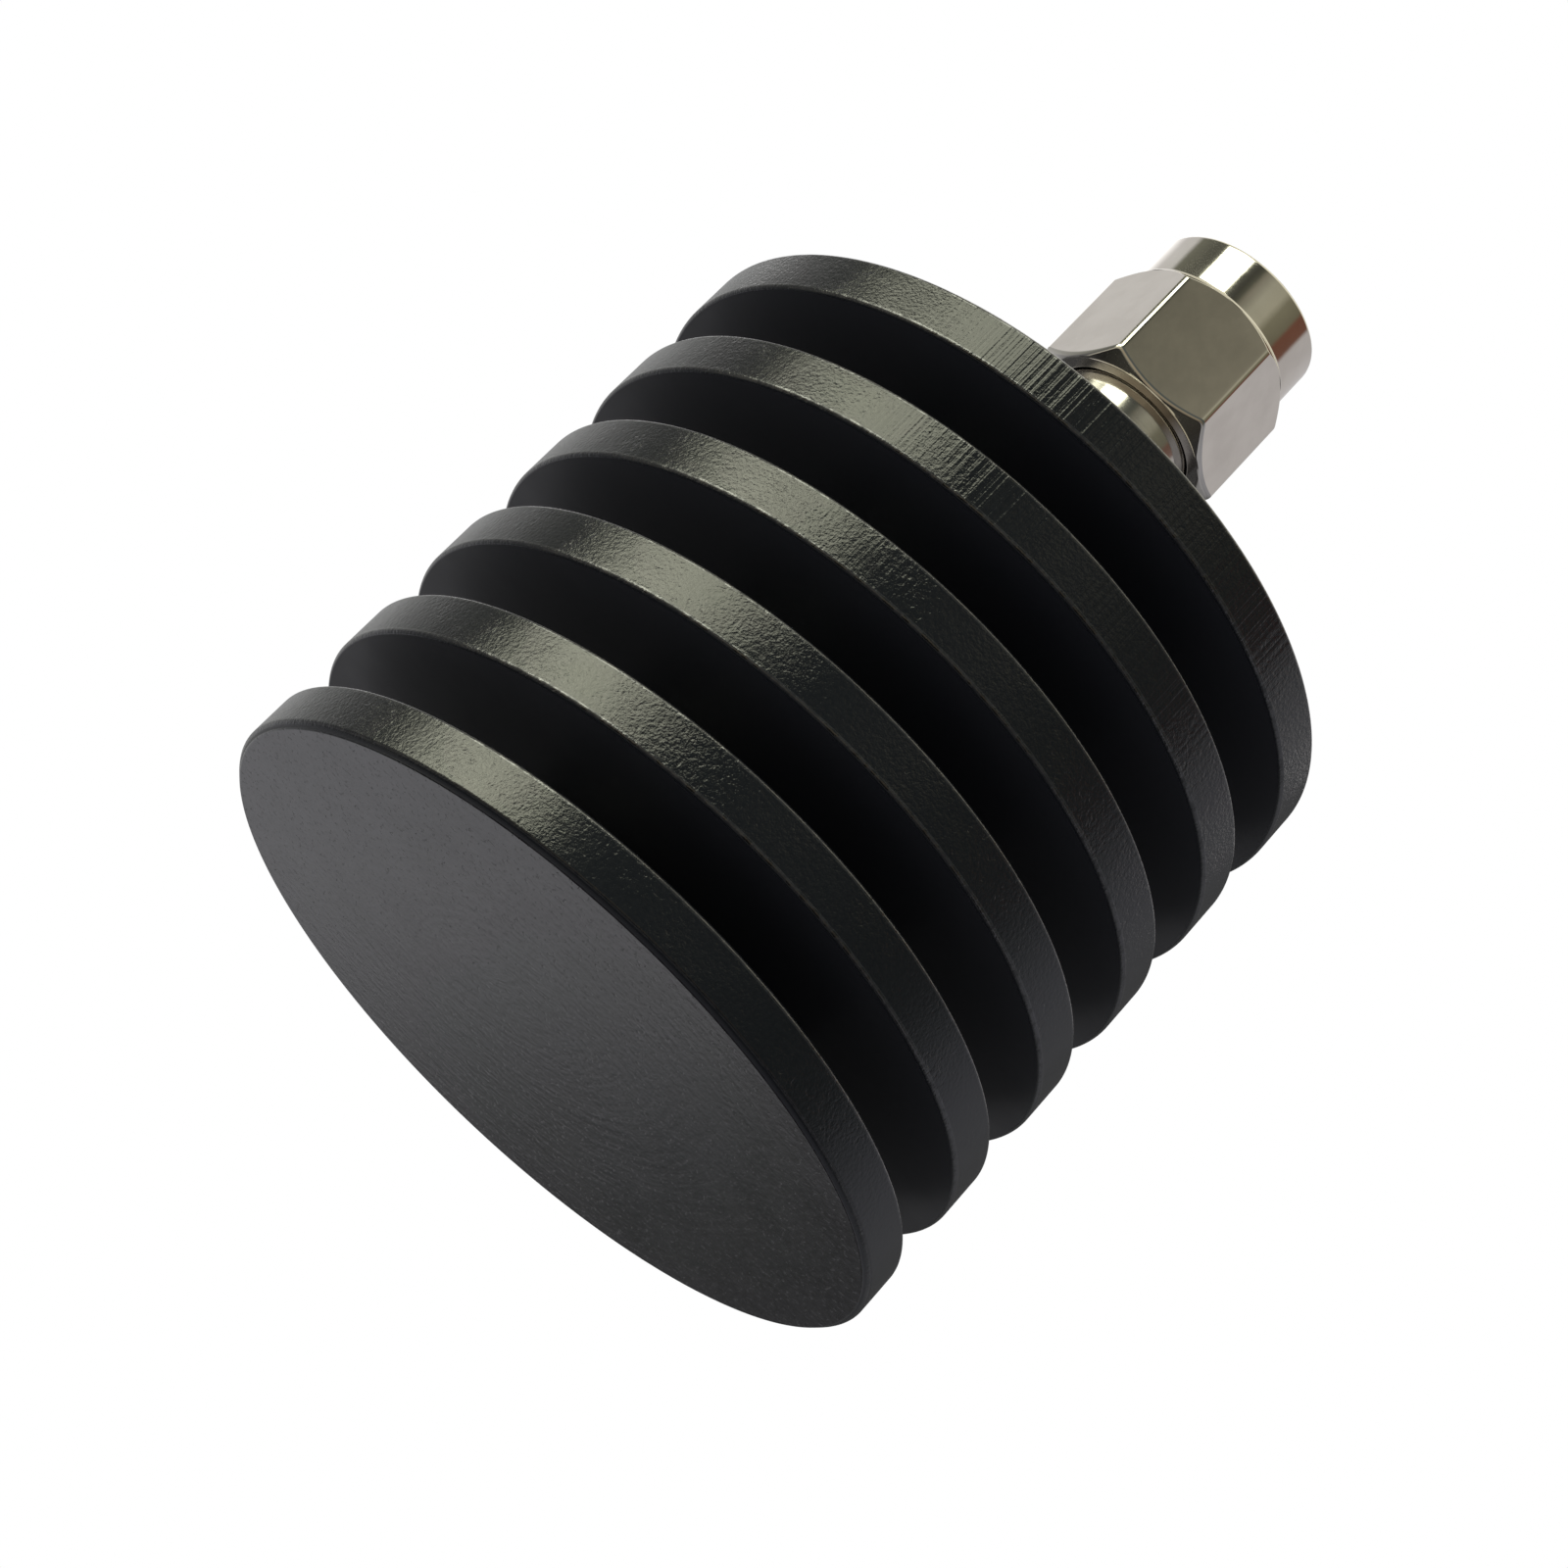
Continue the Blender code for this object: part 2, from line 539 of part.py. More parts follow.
def build():
    clear_scene()
    part = make_collection("coaxial_terminator")
    cutters = make_collection("cutters")

    anodised = make_material("black_anodised_aluminium", (0.018, 0.019, 0.020), 0.42, 0.6)
    nickel = make_material("nickel_plated_brass", (0.62, 0.60, 0.56), 0.14, 1.0)
    nut_nickel = make_material("nickel_plated_nut", (0.64, 0.62, 0.58), 0.12, 1.0)
    bronze = make_material("spring_bronze", (0.60, 0.42, 0.24), 0.30, 1.0)
    silicone = make_material("red_silicone", (0.45, 0.05, 0.03), 0.60, 0.0)
    insulator = make_material("white_insulator", (0.85, 0.85, 0.82), 0.45, 0.0)
    bead_insulator = make_material("white_bead", (0.80, 0.79, 0.74), 0.50, 0.0)
    gold = make_material("gold_plate", (0.83, 0.62, 0.26), 0.20, 1.0)
    silver = make_material("silvered_cap", (0.75, 0.74, 0.72), 0.25, 1.0)
    rear_silver = make_material("silvered_rear_cap", (0.72, 0.71, 0.69), 0.28, 1.0)
    film = make_material("resistive_film", (0.05, 0.05, 0.06), 0.35, 0.0)
    sleeve_brass = make_material("bare_brass", (0.60, 0.45, 0.20), 0.30, 1.0)
    plug_brass = make_material("bare_brass_plug", (0.58, 0.43, 0.19), 0.32, 1.0)
    spring_steel = make_material("spring_steel", (0.45, 0.45, 0.46), 0.30, 1.0)

    turned("heat_sink", heat_sink_section(), HEAT_SINK_STEPS, part, anodised)
    body = turned("connector_body", connector_body_section(), CONNECTOR_STEPS, part, nickel,
                  SPIGOT_END_Z, ring=True)
    cut_spanner_flats(body, cutters)

    nut = turned("coupling_nut", coupling_nut_section(), CONNECTOR_STEPS, part, nut_nickel, NUT_Z, ring=True)
    cut_hexagon(nut, cutters)
    retaining = turned("retaining_ring", ring_section(RING_INNER_RADIUS, RING_OUTER_RADIUS, RING_THICKNESS),
                       CONNECTOR_STEPS, part, bronze, RING_Z, ring=True)
    cut_ring_split(retaining, cutters)
    parent_at((nut, retaining), "coupling_axis", NUT_Z, part)

    gasket_inner = SLEEVE_RADIUS + FIT_GAP
    gasket_outer = BARREL_RADIUS - GASKET_INSET
    turned("gasket", ring_section(gasket_inner, gasket_outer, GASKET_THICKNESS, GASKET_EDGE),
           CONNECTOR_STEPS, part, silicone, BARREL_END_Z + SEAT_GAP, ring=True)
    turned("dielectric", dielectric_section(), CONNECTOR_STEPS, part, insulator,
           BORE_STEP_Z - SEAT_GAP - DIELECTRIC_FLANGE, ring=True)
    turned("centre_contact", centre_contact_section(), INNER_STEPS, part, gold, TAIL_Z)
    turned("support_bead", ring_section(TAIL_RADIUS + FIT_GAP, REAR_BORE_RADIUS - FIT_GAP, BEAD_THICKNESS),
           INNER_STEPS, part, bead_insulator, BEAD_Z, ring=True)

    front_cap_z = ROD_TOP_Z - CAP_DEPTH
    turned("front_cap", front_cap_section(), INNER_STEPS, part, silver, front_cap_z)
    turned("resistor_rod", resistor_rod_section(), INNER_STEPS, part, film, ROD_Z)
    turned("rear_cap", rear_cap_section(), INNER_STEPS, part, rear_silver, REAR_CAP_Z)
    turned("taper_sleeve", taper_sleeve_section(), INNER_STEPS, part, sleeve_brass, TAPER_Z, ring=True)
    turned("ground_plug", ground_plug_section(), INNER_STEPS, part, plug_brass, PLUG_Z)
    turned("disc_spring", disc_spring_section(), INNER_STEPS, part, spring_steel, SPRING_Z, ring=True)


build()
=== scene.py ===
# %% [markdown]
# # A coaxial terminator, dressed for its photograph
# A coaxial terminator ends a radio line and turns what comes down it into heat. This one is a
# black finned bar with a small screw-on plug at one end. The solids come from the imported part,
# and this file makes the surfaces: turned metal with softened edges, a real thread in the nut,
# black anodising, polished nickel and the light that shows them.

# %% The frame
import math

import bmesh
import bpy
from mathutils import Matrix, Quaternion, Vector


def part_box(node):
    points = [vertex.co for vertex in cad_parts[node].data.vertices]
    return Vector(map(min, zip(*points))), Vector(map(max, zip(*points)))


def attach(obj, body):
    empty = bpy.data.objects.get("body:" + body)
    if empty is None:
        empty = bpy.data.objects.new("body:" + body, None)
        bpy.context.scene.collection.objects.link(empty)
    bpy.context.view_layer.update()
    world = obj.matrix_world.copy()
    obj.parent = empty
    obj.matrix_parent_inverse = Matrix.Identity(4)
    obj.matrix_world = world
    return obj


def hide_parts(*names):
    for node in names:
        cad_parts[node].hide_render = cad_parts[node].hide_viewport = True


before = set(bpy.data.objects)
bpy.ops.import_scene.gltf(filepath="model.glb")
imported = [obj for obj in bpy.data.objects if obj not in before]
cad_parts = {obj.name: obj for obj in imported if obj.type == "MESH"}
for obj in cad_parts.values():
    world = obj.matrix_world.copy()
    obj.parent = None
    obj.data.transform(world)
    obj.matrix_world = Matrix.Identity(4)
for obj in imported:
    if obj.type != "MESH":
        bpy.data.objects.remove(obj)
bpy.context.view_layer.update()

# %% [markdown]
# ## Millimetres
# The frame is in metres, and the sizes of a plug this small are thought of in millimetres. Every
# length below is in millimetres, and a finished mesh is scaled once, just before it is handed over.
# The outer sizes and the heights are read from the frame, so the new surfaces sit on the solids.

# %% Sizes read from the frame
MM = 0.001


def box_mm(node):
    """Lowest and highest corner of a node of the part, in millimetres."""
    low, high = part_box(node)
    return low / MM, high / MM


SINK_HIGH = box_mm("heat_sink")[1]
BODY_LOW, BODY_HIGH = box_mm("connector_body")
NUT_LOW, NUT_HIGH = box_mm("coupling_nut")
RING_LOW, RING_HIGH = box_mm("retaining_ring")
SEAL_LOW, SEAL_HIGH = box_mm("gasket")
TUBE_LOW, TUBE_HIGH = box_mm("dielectric")
PIN_LOW, PIN_HIGH = box_mm("centre_contact")
SPRING_HIGH = box_mm("disc_spring")[1]

FIN_RADIUS = SINK_HIGH.x
BACK_FACE = SINK_HIGH.z
print("heat sink radius", round(FIN_RADIUS, 2), "back face at", round(BACK_FACE, 2))

# %% [markdown]
# ## A lathe made of two operators
# Nearly every piece here came off a lathe, so the helper works as one. A half section is drawn as a
# wire of corners, each (radius, height) or (radius, height, rounding). The rounding bevels that
# corner while the section is still flat, which is cheaper and cleaner than bevelling the solid
# afterwards, and one spin sweeps the wire round the axis. Where the section touches the axis, the
# doubled points of the pole are merged. The shading normals are weighted by face size while the mesh
# is still in millimetres, because in metres the faces are too small for the modifier to weigh.

# %% Drawing and turning a section
# Roundings of turned edges, from the thin sleeve's to those of an undercut.
HAIR_EDGE = 0.02
FINE_EDGE = 0.03
SOFT_EDGE = 0.04
BROKEN_EDGE = 0.05
FOOT_EDGE = 0.06
UNDERCUT_EDGE = 0.08

WELD = 0.0005
ROUNDING_STEPS = 3
SHARP_ANGLE = math.radians(38.0)
LARGE_FACES_WIN = 95


def draw_section(bm, section, closed=False):
    """Draw a half section as a wire in the XZ plane, with its corners rounded."""
    corners, rounded = [], {}
    for radius, height, *rounding in section:
        corner = bm.verts.new((radius, 0.0, height))
        corners.append(corner)
        if rounding:
            rounded.setdefault(rounding[0], []).append(corner)
    for pair in zip(corners, corners[1:]):
        bm.edges.new(pair)
    if closed:
        bm.edges.new((corners[-1], corners[0]))
    for offset, chosen in rounded.items():
        bmesh.ops.bevel(bm, geom=chosen, offset=offset, offset_type="OFFSET", affect="VERTICES",
                        segments=ROUNDING_STEPS, profile=0.5, material=-1)


def turn(section, steps, closed=False, angle=math.tau):
    """Sweep a half section round the Z axis, and close the ends of a part turn."""
    bm = bmesh.new()
    draw_section(bm, section, closed)
    bmesh.ops.spin(bm, geom=bm.verts[:] + bm.edges[:], axis=(0, 0, 1), cent=(0, 0, 0),
                   angle=angle, steps=steps, use_merge=angle == math.tau)
    bmesh.ops.remove_doubles(bm, verts=bm.verts[:], dist=WELD)
    bmesh.ops.holes_fill(bm, edges=[edge for edge in bm.edges if edge.is_boundary], sides=0)
    bmesh.ops.recalc_face_normals(bm, faces=bm.faces[:])
    return bm


# %% Handing a piece over
def place(bm, name, material, body, node):
    """Hand a finished mesh over: it rides on its body and stands for its node of the part."""
    mesh = bpy.data.meshes.new(name)
    bm.to_mesh(mesh)
    bm.free()
    mesh.materials.append(material)
    mesh.shade_smooth()
    mesh.set_sharp_from_angle(angle=SHARP_ANGLE)
    piece = bpy.data.objects.new(name, mesh)
    bpy.context.scene.collection.objects.link(piece)
    even = piece.modifiers.new("Even shading", "WEIGHTED_NORMAL")
    even.keep_sharp = True
    even.weight = LARGE_FACES_WIN
    depsgraph = bpy.context.evaluated_depsgraph_get()
    shaded = piece.evaluated_get(depsgraph)
    piece.data = bpy.data.meshes.new_from_object(shaded, depsgraph=depsgraph)
    piece.modifiers.clear()
    piece.data.transform(Matrix.Scale(MM, 4))
    bpy.data.meshes.remove(mesh)
    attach(piece, body)
    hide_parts(node)
    print(name, "faces:", len(piece.data.polygons))


# %% [markdown]
# ## Node helpers
# A material is a small graph. A few helpers keep it readable: one adds a node and fills its
# sockets, and the others build on it for arithmetic, fades, noise, relief and mixed colours.
# Patterns read Object coordinates through a Mapping node that turns metres into millimetres, so
# that a scale of 5 means five grains to the millimetre.

# %% Adding nodes
def add_node(tree, kind, inputs=None, **settings):
    """Add a node, set its properties, and give each named or numbered input a value or a link."""
    node = tree.nodes.new(kind)
    for name, value in settings.items():
        setattr(node, name, value)
    for socket, value in (inputs or {}).items():
        if isinstance(value, bpy.types.NodeSocket):
            tree.links.new(value, node.inputs[socket])
        else:
            node.inputs[socket].default_value = value
    return node


def maths(tree, operation, *values):
    """One step of arithmetic on links and numbers."""
    node = add_node(tree, "ShaderNodeMath", dict(enumerate(values)), operation=operation)
    return node.outputs[0]


def times(tree, first, second):
    return maths(tree, "MULTIPLY", first, second)


# %% Ramps and fades
def colour_ramp(tree, factor, stops):
    """A colour ramp whose stops are (position, (red, green, blue))."""
    node = add_node(tree, "ShaderNodeValToRGB", {0: factor})
    points = node.color_ramp.elements
    while len(points) < len(stops):
        points.new(1.0)
    for point, (position, colour) in zip(points, stops):
        point.position = position
        point.color = (*colour, 1.0)
    return node.outputs["Color"]


def fade(tree, value, low, high, start=0.0, end=1.0):
    """Go smoothly from start to end as a value goes from low to high."""
    node = add_node(tree, "ShaderNodeMapRange", {0: value, 1: low, 2: high, 3: start, 4: end},
                    interpolation_type="SMOOTHSTEP")
    return node.outputs[0]


# %% Coordinates, noise and relief
def millimetres(tree):
    """The piece's own coordinates, in millimetres."""
    coordinates = add_node(tree, "ShaderNodeTexCoord").outputs["Object"]
    mapping = add_node(tree, "ShaderNodeMapping", {"Vector": coordinates, "Scale": (1 / MM,) * 3})
    return mapping.outputs["Vector"]


def noise(tree, vector, scale, detail=2.0, roughness=0.5):
    """Soft noise from 0 to 1, with a scale in grains to the millimetre."""
    node = add_node(tree, "ShaderNodeTexNoise",
                    {"Vector": vector, "Scale": scale, "Detail": detail, "Roughness": roughness})
    return node.outputs[0]


def bump(tree, height, depth, normal=None):
    """Raise the surface by a height of 0 to 1 times a depth in millimetres."""
    inputs = {"Height": height, "Strength": 1.0, "Distance": depth * MM}
    if normal is not None:
        inputs["Normal"] = normal
    return add_node(tree, "ShaderNodeBump", inputs).outputs[0]


# %% Materials and mixed colours
GLOSS_IOR = 1.5


def new_material(name, metallic, roughness):
    """A material whose one shader has its even values on its own sockets."""
    material = bpy.data.materials.new(name)
    material.use_nodes = True
    shader = material.node_tree.nodes["Principled BSDF"]
    shader.inputs["Metallic"].default_value = metallic
    shader.inputs["Roughness"].default_value = roughness
    shader.inputs["IOR"].default_value = GLOSS_IOR
    return material, material.node_tree, shader


# A Mix node has sockets of the same name for each kind of data, so its colours go by number.
MIX_FIRST, MIX_SECOND, MIX_RESULT = 6, 7, 2


def blend_by(tree, factor, first, second):
    """Two colours mixed by a factor from 0 to 1, where each is a link or has four numbers."""
    mix = add_node(tree, "ShaderNodeMix", {"Factor": factor, MIX_FIRST: first, MIX_SECOND: second},
                   data_type="RGBA")
    return mix.outputs[MIX_RESULT]


def blend_colours(tree, factor, first, second):
    """Two even colours mixed by a factor."""
    return blend_by(tree, factor, (*first, 1.0), (*second, 1.0))


# %% [markdown]
# ## The heat sink
# One bar, turned to six fins with a blind bore for the load. The section runs from the floor of the
# bore, out over the back face, down over six rims and grooves, and back to the axis along the closed
# face. Every edge is broken: thin bright lines along the rims come from those small chamfers.

# %% The heat sink's section
FIN_COUNT = 6
FIN_THICKNESS = 2.15
GROOVE_WIDTH = (BACK_FACE - FIN_COUNT * FIN_THICKNESS) / (FIN_COUNT - 1)
FIN_PITCH = FIN_THICKNESS + GROOVE_WIDTH
GROOVE_ROOT_RADIUS = 0.50
FIN_EDGE_CHAMFER = 0.12
CLOSED_FACE_CHAMFER = 0.25
CORE_RADIUS = 6.98
SPIGOT_HOLE_WALL = 2.50
SPIGOT_HOLE_RADIUS = CORE_RADIUS - SPIGOT_HOLE_WALL
CLOSED_END_WALL = 4.00
BORE_MOUTH_CHAMFER = 0.30
BORE_CORNER_ROUNDING = 0.10
SPRING_CLEARANCE = 0.30
LOAD_BORE_RADIUS = SPRING_HIGH.x + SPRING_CLEARANCE
SEAT_CLEARANCE = 0.03
LEDGE_HEIGHT = BODY_LOW.z - SEAT_CLEARANCE
HEAT_SINK_STEPS = 320


def heat_sink_section():
    """From the floor of the bore out over the back face, down the fins, and back to the axis."""
    section = [
        (0.0, CLOSED_END_WALL),
        (LOAD_BORE_RADIUS, CLOSED_END_WALL, BORE_CORNER_ROUNDING),
        (LOAD_BORE_RADIUS, LEDGE_HEIGHT),
        (SPIGOT_HOLE_RADIUS, LEDGE_HEIGHT, BROKEN_EDGE),
        (SPIGOT_HOLE_RADIUS, BACK_FACE - BORE_MOUTH_CHAMFER),
        (SPIGOT_HOLE_RADIUS + BORE_MOUTH_CHAMFER, BACK_FACE, BROKEN_EDGE),
    ]
    for fin in reversed(range(FIN_COUNT)):
        bottom = fin * FIN_PITCH
        top = bottom + FIN_THICKNESS
        lower_chamfer = FIN_EDGE_CHAMFER if fin else CLOSED_FACE_CHAMFER
        section += [
            (FIN_RADIUS - FIN_EDGE_CHAMFER, top, BROKEN_EDGE),
            (FIN_RADIUS, top - FIN_EDGE_CHAMFER, BROKEN_EDGE),
            (FIN_RADIUS, bottom + lower_chamfer, BROKEN_EDGE),
            (FIN_RADIUS - lower_chamfer, bottom, BROKEN_EDGE),
        ]
        if fin:
            section += [
                (CORE_RADIUS, bottom, GROOVE_ROOT_RADIUS),
                (CORE_RADIUS, bottom - GROOVE_WIDTH, GROOVE_ROOT_RADIUS),
            ]
    section.append((0.0, 0.0))
    return section


# %% [markdown]
# ## Black anodising
# Anodising grows a glassy layer with black dye in it, so the bar looks like dark satin stone rather
# than metal: no metallic value, a low colour, and all of its light in the gloss. The rims show a
# mottled grain with small pits, and on the fins near the plug the tool chattered on one side, which
# left straight lines along the axis. Along the rims' sharp edges the layer is worn thin and the metal
# glints. The two ends were faced, so they have faint rings. The groove walls are rough, and their
# colour is about three times paler than the rims' dye. That paler colour is painted fill light,
# standing in for the light the deep grooves lack. Radius, height and the direction round the axis
# decide which of these patterns shows.

# %% Colours and roughness of the anodised finish
ANODISED_DARK = (0.0052, 0.0062, 0.0088)
ANODISED_PALE = (0.0078, 0.0088, 0.0112)
FACE_DARK = (0.0040, 0.0040, 0.0055)
FACE_PALE = (0.0200, 0.0200, 0.0235)
# Painted fill light: the groove walls and bores get this paler colour to lift the shade in the
# grooves.
GROOVE_PAINTED_FILL = (0.0200, 0.0215, 0.0290)
WORN_COLOUR = (0.1000, 0.1000, 0.1050)
COLOUR_LEVELS = (0.35, 0.65)
RIM_ROUGHNESS = 0.15
FACE_ROUGHNESS = 0.13
GROOVE_ROUGHNESS = 0.45
UNEVENNESS = 0.02
UNEVEN_LEVELS = (0.3, 0.7)

# %% Sizes of the anodised finish's patterns
# IN_PATCHES has the noise levels where a fade begins and ends, and then the share at each.
PATCHES_PER_MM = 0.35
GRAIN_PER_MM = 6.5
GRAIN_DEPTH = 0.024
PITS_PER_MM = 4.2
PIT_LEVELS = (0.62, 0.72)
PIT_SHARE = 0.22
CHATTER_PER_MM = 4.6
CHATTER_DEPTH = 0.048
CHATTER_SIDE = (0.17, -0.98, 0.0)
CHATTER_TOWARDS_SIDE = (0.70 * FIN_RADIUS, 0.95 * FIN_RADIUS)
CHATTER_HEIGHTS = (0.35 * BACK_FACE, 0.95 * BACK_FACE)
CHATTER_ELSEWHERE = 0.15
CHATTER_IN_PATCHES = (0.30, 0.50, 0.6, 1.0)
GRAIN_UNDER_CHATTER = 0.55
GRAIN_IN_PATCHES = (0.35, 0.60, 1.25, 0.7)
RINGS_PER_MM = 3.0
RING_DEPTH = 0.0050
RING_WOBBLE = 1.5
SWIRL_CENTRE = (-4.5, -3.0, 0.0)
MOTTLE_PER_MM = 3.2
MOTTLE_DEPTH = 0.0060
WEAR_PER_MM = 2.5
WEAR_LEVELS = (0.35, 0.60)
LEAST_WEAR = 0.20

# %% Where each pattern lies
# Each pair is the radius, height or distance at which a pattern begins to change and has changed.
RIM_FROM = (FIN_RADIUS - 0.20, FIN_RADIUS - 0.05)
CLOSED_FACE_TO = (0.01, 0.05)
BACK_FACE_FROM = (BACK_FACE - 0.05, BACK_FACE - 0.01)
EDGE_RADIUS_FROM = (FIN_RADIUS - 0.08, FIN_RADIUS - 0.05)
FLAT_HALF = FIN_THICKNESS / 2 - FIN_EDGE_CHAMFER
EDGE_FROM = (FLAT_HALF - 0.11, FLAT_HALF - 0.07)


def masks_on_bar(tree, height, radius):
    """Shares from 0 to 1 of the rims, of the two ends, and of the edges along the rims."""
    on_rim = fade(tree, radius, *RIM_FROM)
    on_ends = maths(tree, "MAXIMUM", fade(tree, height, *CLOSED_FACE_TO, 1.0, 0.0),
                    fade(tree, height, *BACK_FACE_FROM))
    in_pitch = maths(tree, "FLOORED_MODULO", height, FIN_PITCH)
    off_middle = maths(tree, "ABSOLUTE", maths(tree, "SUBTRACT", in_pitch, FIN_THICKNESS / 2))
    at_edge = times(tree, fade(tree, off_middle, *EDGE_FROM),
                    fade(tree, radius, *EDGE_RADIUS_FROM))
    return on_rim, on_ends, at_edge


def distance_from(tree, across, centre):
    """How far each point lies from an upright line through the centre."""
    offset = add_node(tree, "ShaderNodeVectorMath", {0: across, 1: centre}, operation="SUBTRACT")
    length = add_node(tree, "ShaderNodeVectorMath", {0: offset.outputs[0]}, operation="LENGTH")
    return length.outputs["Value"]


# %% Relief of the rims
def where_chattered(tree, across, height, patches):
    """The tool chattered on one side of the bar, more toward the plug, and in patches."""
    towards = add_node(tree, "ShaderNodeVectorMath", {0: across, 1: CHATTER_SIDE},
                       operation="DOT_PRODUCT").outputs["Value"]
    on_side = fade(tree, towards, *CHATTER_TOWARDS_SIDE, CHATTER_ELSEWHERE, 1.0)
    near_plug = fade(tree, height, *CHATTER_HEIGHTS)
    return times(tree, times(tree, near_plug, on_side), fade(tree, patches, *CHATTER_IN_PATCHES))


def rim_relief(tree, pitted, chatter, chattered, patches, on_rim):
    """A stony grain, which is weaker where the chatter's lines run."""
    grain_share = times(tree, fade(tree, chattered, 0.0, 1.0, 1.0, GRAIN_UNDER_CHATTER),
                        fade(tree, patches, *GRAIN_IN_PATCHES))
    grained = bump(tree, times(tree, pitted, times(tree, grain_share, on_rim)), GRAIN_DEPTH)
    lines = times(tree, chatter, times(tree, chattered, on_rim))
    return bump(tree, lines, CHATTER_DEPTH, grained)


# %% Relief of the two ends
def lines_over(tree, value, per_mm, wobble):
    """Noise along one value alone, which draws lines wherever that value stays the same."""
    line = add_node(tree, "ShaderNodeCombineXYZ", {0: value, 1: wobble}).outputs[0]
    return noise(tree, line, per_mm, detail=3.0)


def end_relief(tree, across, radius, patches, rough, on_ends, beneath):
    """Rings round the axis, a second set round another centre, and a soft mottle over both."""
    wobble = times(tree, patches, RING_WOBBLE)
    rings = lines_over(tree, radius, RINGS_PER_MM, wobble)
    swirl = lines_over(tree, distance_from(tree, across, SWIRL_CENTRE), RINGS_PER_MM, wobble)
    faced = times(tree, maths(tree, "ADD", rings, swirl), on_ends)
    return bump(tree, times(tree, rough, on_ends), MOTTLE_DEPTH,
                bump(tree, faced, RING_DEPTH, beneath))


# %% The anodised finish
def anodised():
    """The finish: relief, colour, painted groove fill light, bare metal at worn edges, and gloss."""
    material, tree, shader = new_material("black_anodising", 0.0, RIM_ROUGHNESS)
    position = millimetres(tree)
    x, y, height = add_node(tree, "ShaderNodeSeparateXYZ", {0: position}).outputs
    across = add_node(tree, "ShaderNodeCombineXYZ", {0: x, 1: y}).outputs[0]
    radius = distance_from(tree, across, (0.0, 0.0, 0.0))
    on_rim, on_ends, at_edge = masks_on_bar(tree, height, radius)

    patches = noise(tree, position, PATCHES_PER_MM)
    grain = noise(tree, position, GRAIN_PER_MM, detail=3.0, roughness=0.6)
    mottle = noise(tree, position, MOTTLE_PER_MM, detail=3.0, roughness=0.6)
    chatter = noise(tree, across, CHATTER_PER_MM, detail=2.0, roughness=0.6)
    pits = fade(tree, noise(tree, position, PITS_PER_MM, detail=1.0), *PIT_LEVELS)
    pitted = maths(tree, "SUBTRACT", grain, times(tree, pits, PIT_SHARE))
    chattered = where_chattered(tree, across, height, patches)
    rims = rim_relief(tree, pitted, chatter, chattered, patches, on_rim)
    rough = maths(tree, "SUBTRACT", mottle, pits)
    relief = end_relief(tree, across, radius, patches, rough, on_ends, rims)
    tree.links.new(relief, shader.inputs["Normal"])

    on_rims = blend_colours(tree, fade(tree, grain, *COLOUR_LEVELS), ANODISED_DARK, ANODISED_PALE)
    on_faces = blend_colours(tree, fade(tree, mottle, *COLOUR_LEVELS), FACE_DARK, FACE_PALE)
    # Off the rims and the ends the colour is paler, as painted fill light in the grooves and bores.
    ends_or_painted_groove_fill = blend_by(tree, on_ends, (*GROOVE_PAINTED_FILL, 1.0), on_faces)
    wear = fade(tree, noise(tree, position, WEAR_PER_MM), *WEAR_LEVELS, LEAST_WEAR, 1.0)
    worn = times(tree, at_edge, wear)
    dye_and_painted_groove_fill = blend_by(tree, on_rim, ends_or_painted_groove_fill, on_rims)
    tree.links.new(blend_by(tree, worn, dye_and_painted_groove_fill, (*WORN_COLOUR, 1.0)), shader.inputs["Base Color"])
    tree.links.new(worn, shader.inputs["Metallic"])

    evenness = fade(tree, patches, *UNEVEN_LEVELS, -UNEVENNESS, UNEVENNESS)
    off_rim = fade(tree, on_ends, 0.0, 1.0, GROOVE_ROUGHNESS, FACE_ROUGHNESS)
    smoothness = fade(tree, on_rim, 0.0, 1.0, off_rim, RIM_ROUGHNESS)
    tree.links.new(maths(tree, "ADD", smoothness, evenness), shader.inputs["Roughness"])
    return material


# %% The finned bar
ANODISED = anodised()
place(turn(heat_sink_section(), HEAT_SINK_STEPS), "finned_bar", ANODISED,
      "heat_sink_and_plug", "heat_sink")

# %% [markdown]
# ## Polished nickel
# The plug's brass is plated with bright nickel. Its colour is nearly all reflection, so it needs
# little more than a true base colour and a low roughness. Two faint patterns keep it from looking
# like glass: the slow waves of hand polishing, and fine turning lines round the axis.

# %% The nickel finish
NICKEL_BRIGHT = (0.62, 0.595, 0.560)
NICKEL_DULL = (0.57, 0.545, 0.510)
WAVES_PER_MM = 1.1
LINES_PER_MM = 11.0
CLOUDS_PER_MM = 0.6
CLOUD_LEVELS = (0.3, 0.7)
DULLER_BY = 0.03


def nickel(name, roughness, wave_depth, line_depth):
    """Bright plate with waves over it and lines round the axis, each of a depth in millimetres."""
    material, tree, shader = new_material(name, 1.0, roughness)
    position = millimetres(tree)
    waves = noise(tree, position, WAVES_PER_MM)
    height = add_node(tree, "ShaderNodeSeparateXYZ", {0: position}).outputs[2]
    along = add_node(tree, "ShaderNodeCombineXYZ", {2: height}).outputs[0]
    lines = noise(tree, along, LINES_PER_MM, detail=3.0, roughness=0.7)
    waved = bump(tree, waves, wave_depth)
    tree.links.new(bump(tree, lines, line_depth, waved), shader.inputs["Normal"])
    clouds = noise(tree, position, CLOUDS_PER_MM, detail=3.0)
    colour = blend_colours(tree, fade(tree, clouds, *CLOUD_LEVELS), NICKEL_DULL, NICKEL_BRIGHT)
    tree.links.new(colour, shader.inputs["Base Color"])
    gloss = fade(tree, clouds, *CLOUD_LEVELS, roughness + DULLER_BY, roughness)
    tree.links.new(gloss, shader.inputs["Roughness"])
    return material


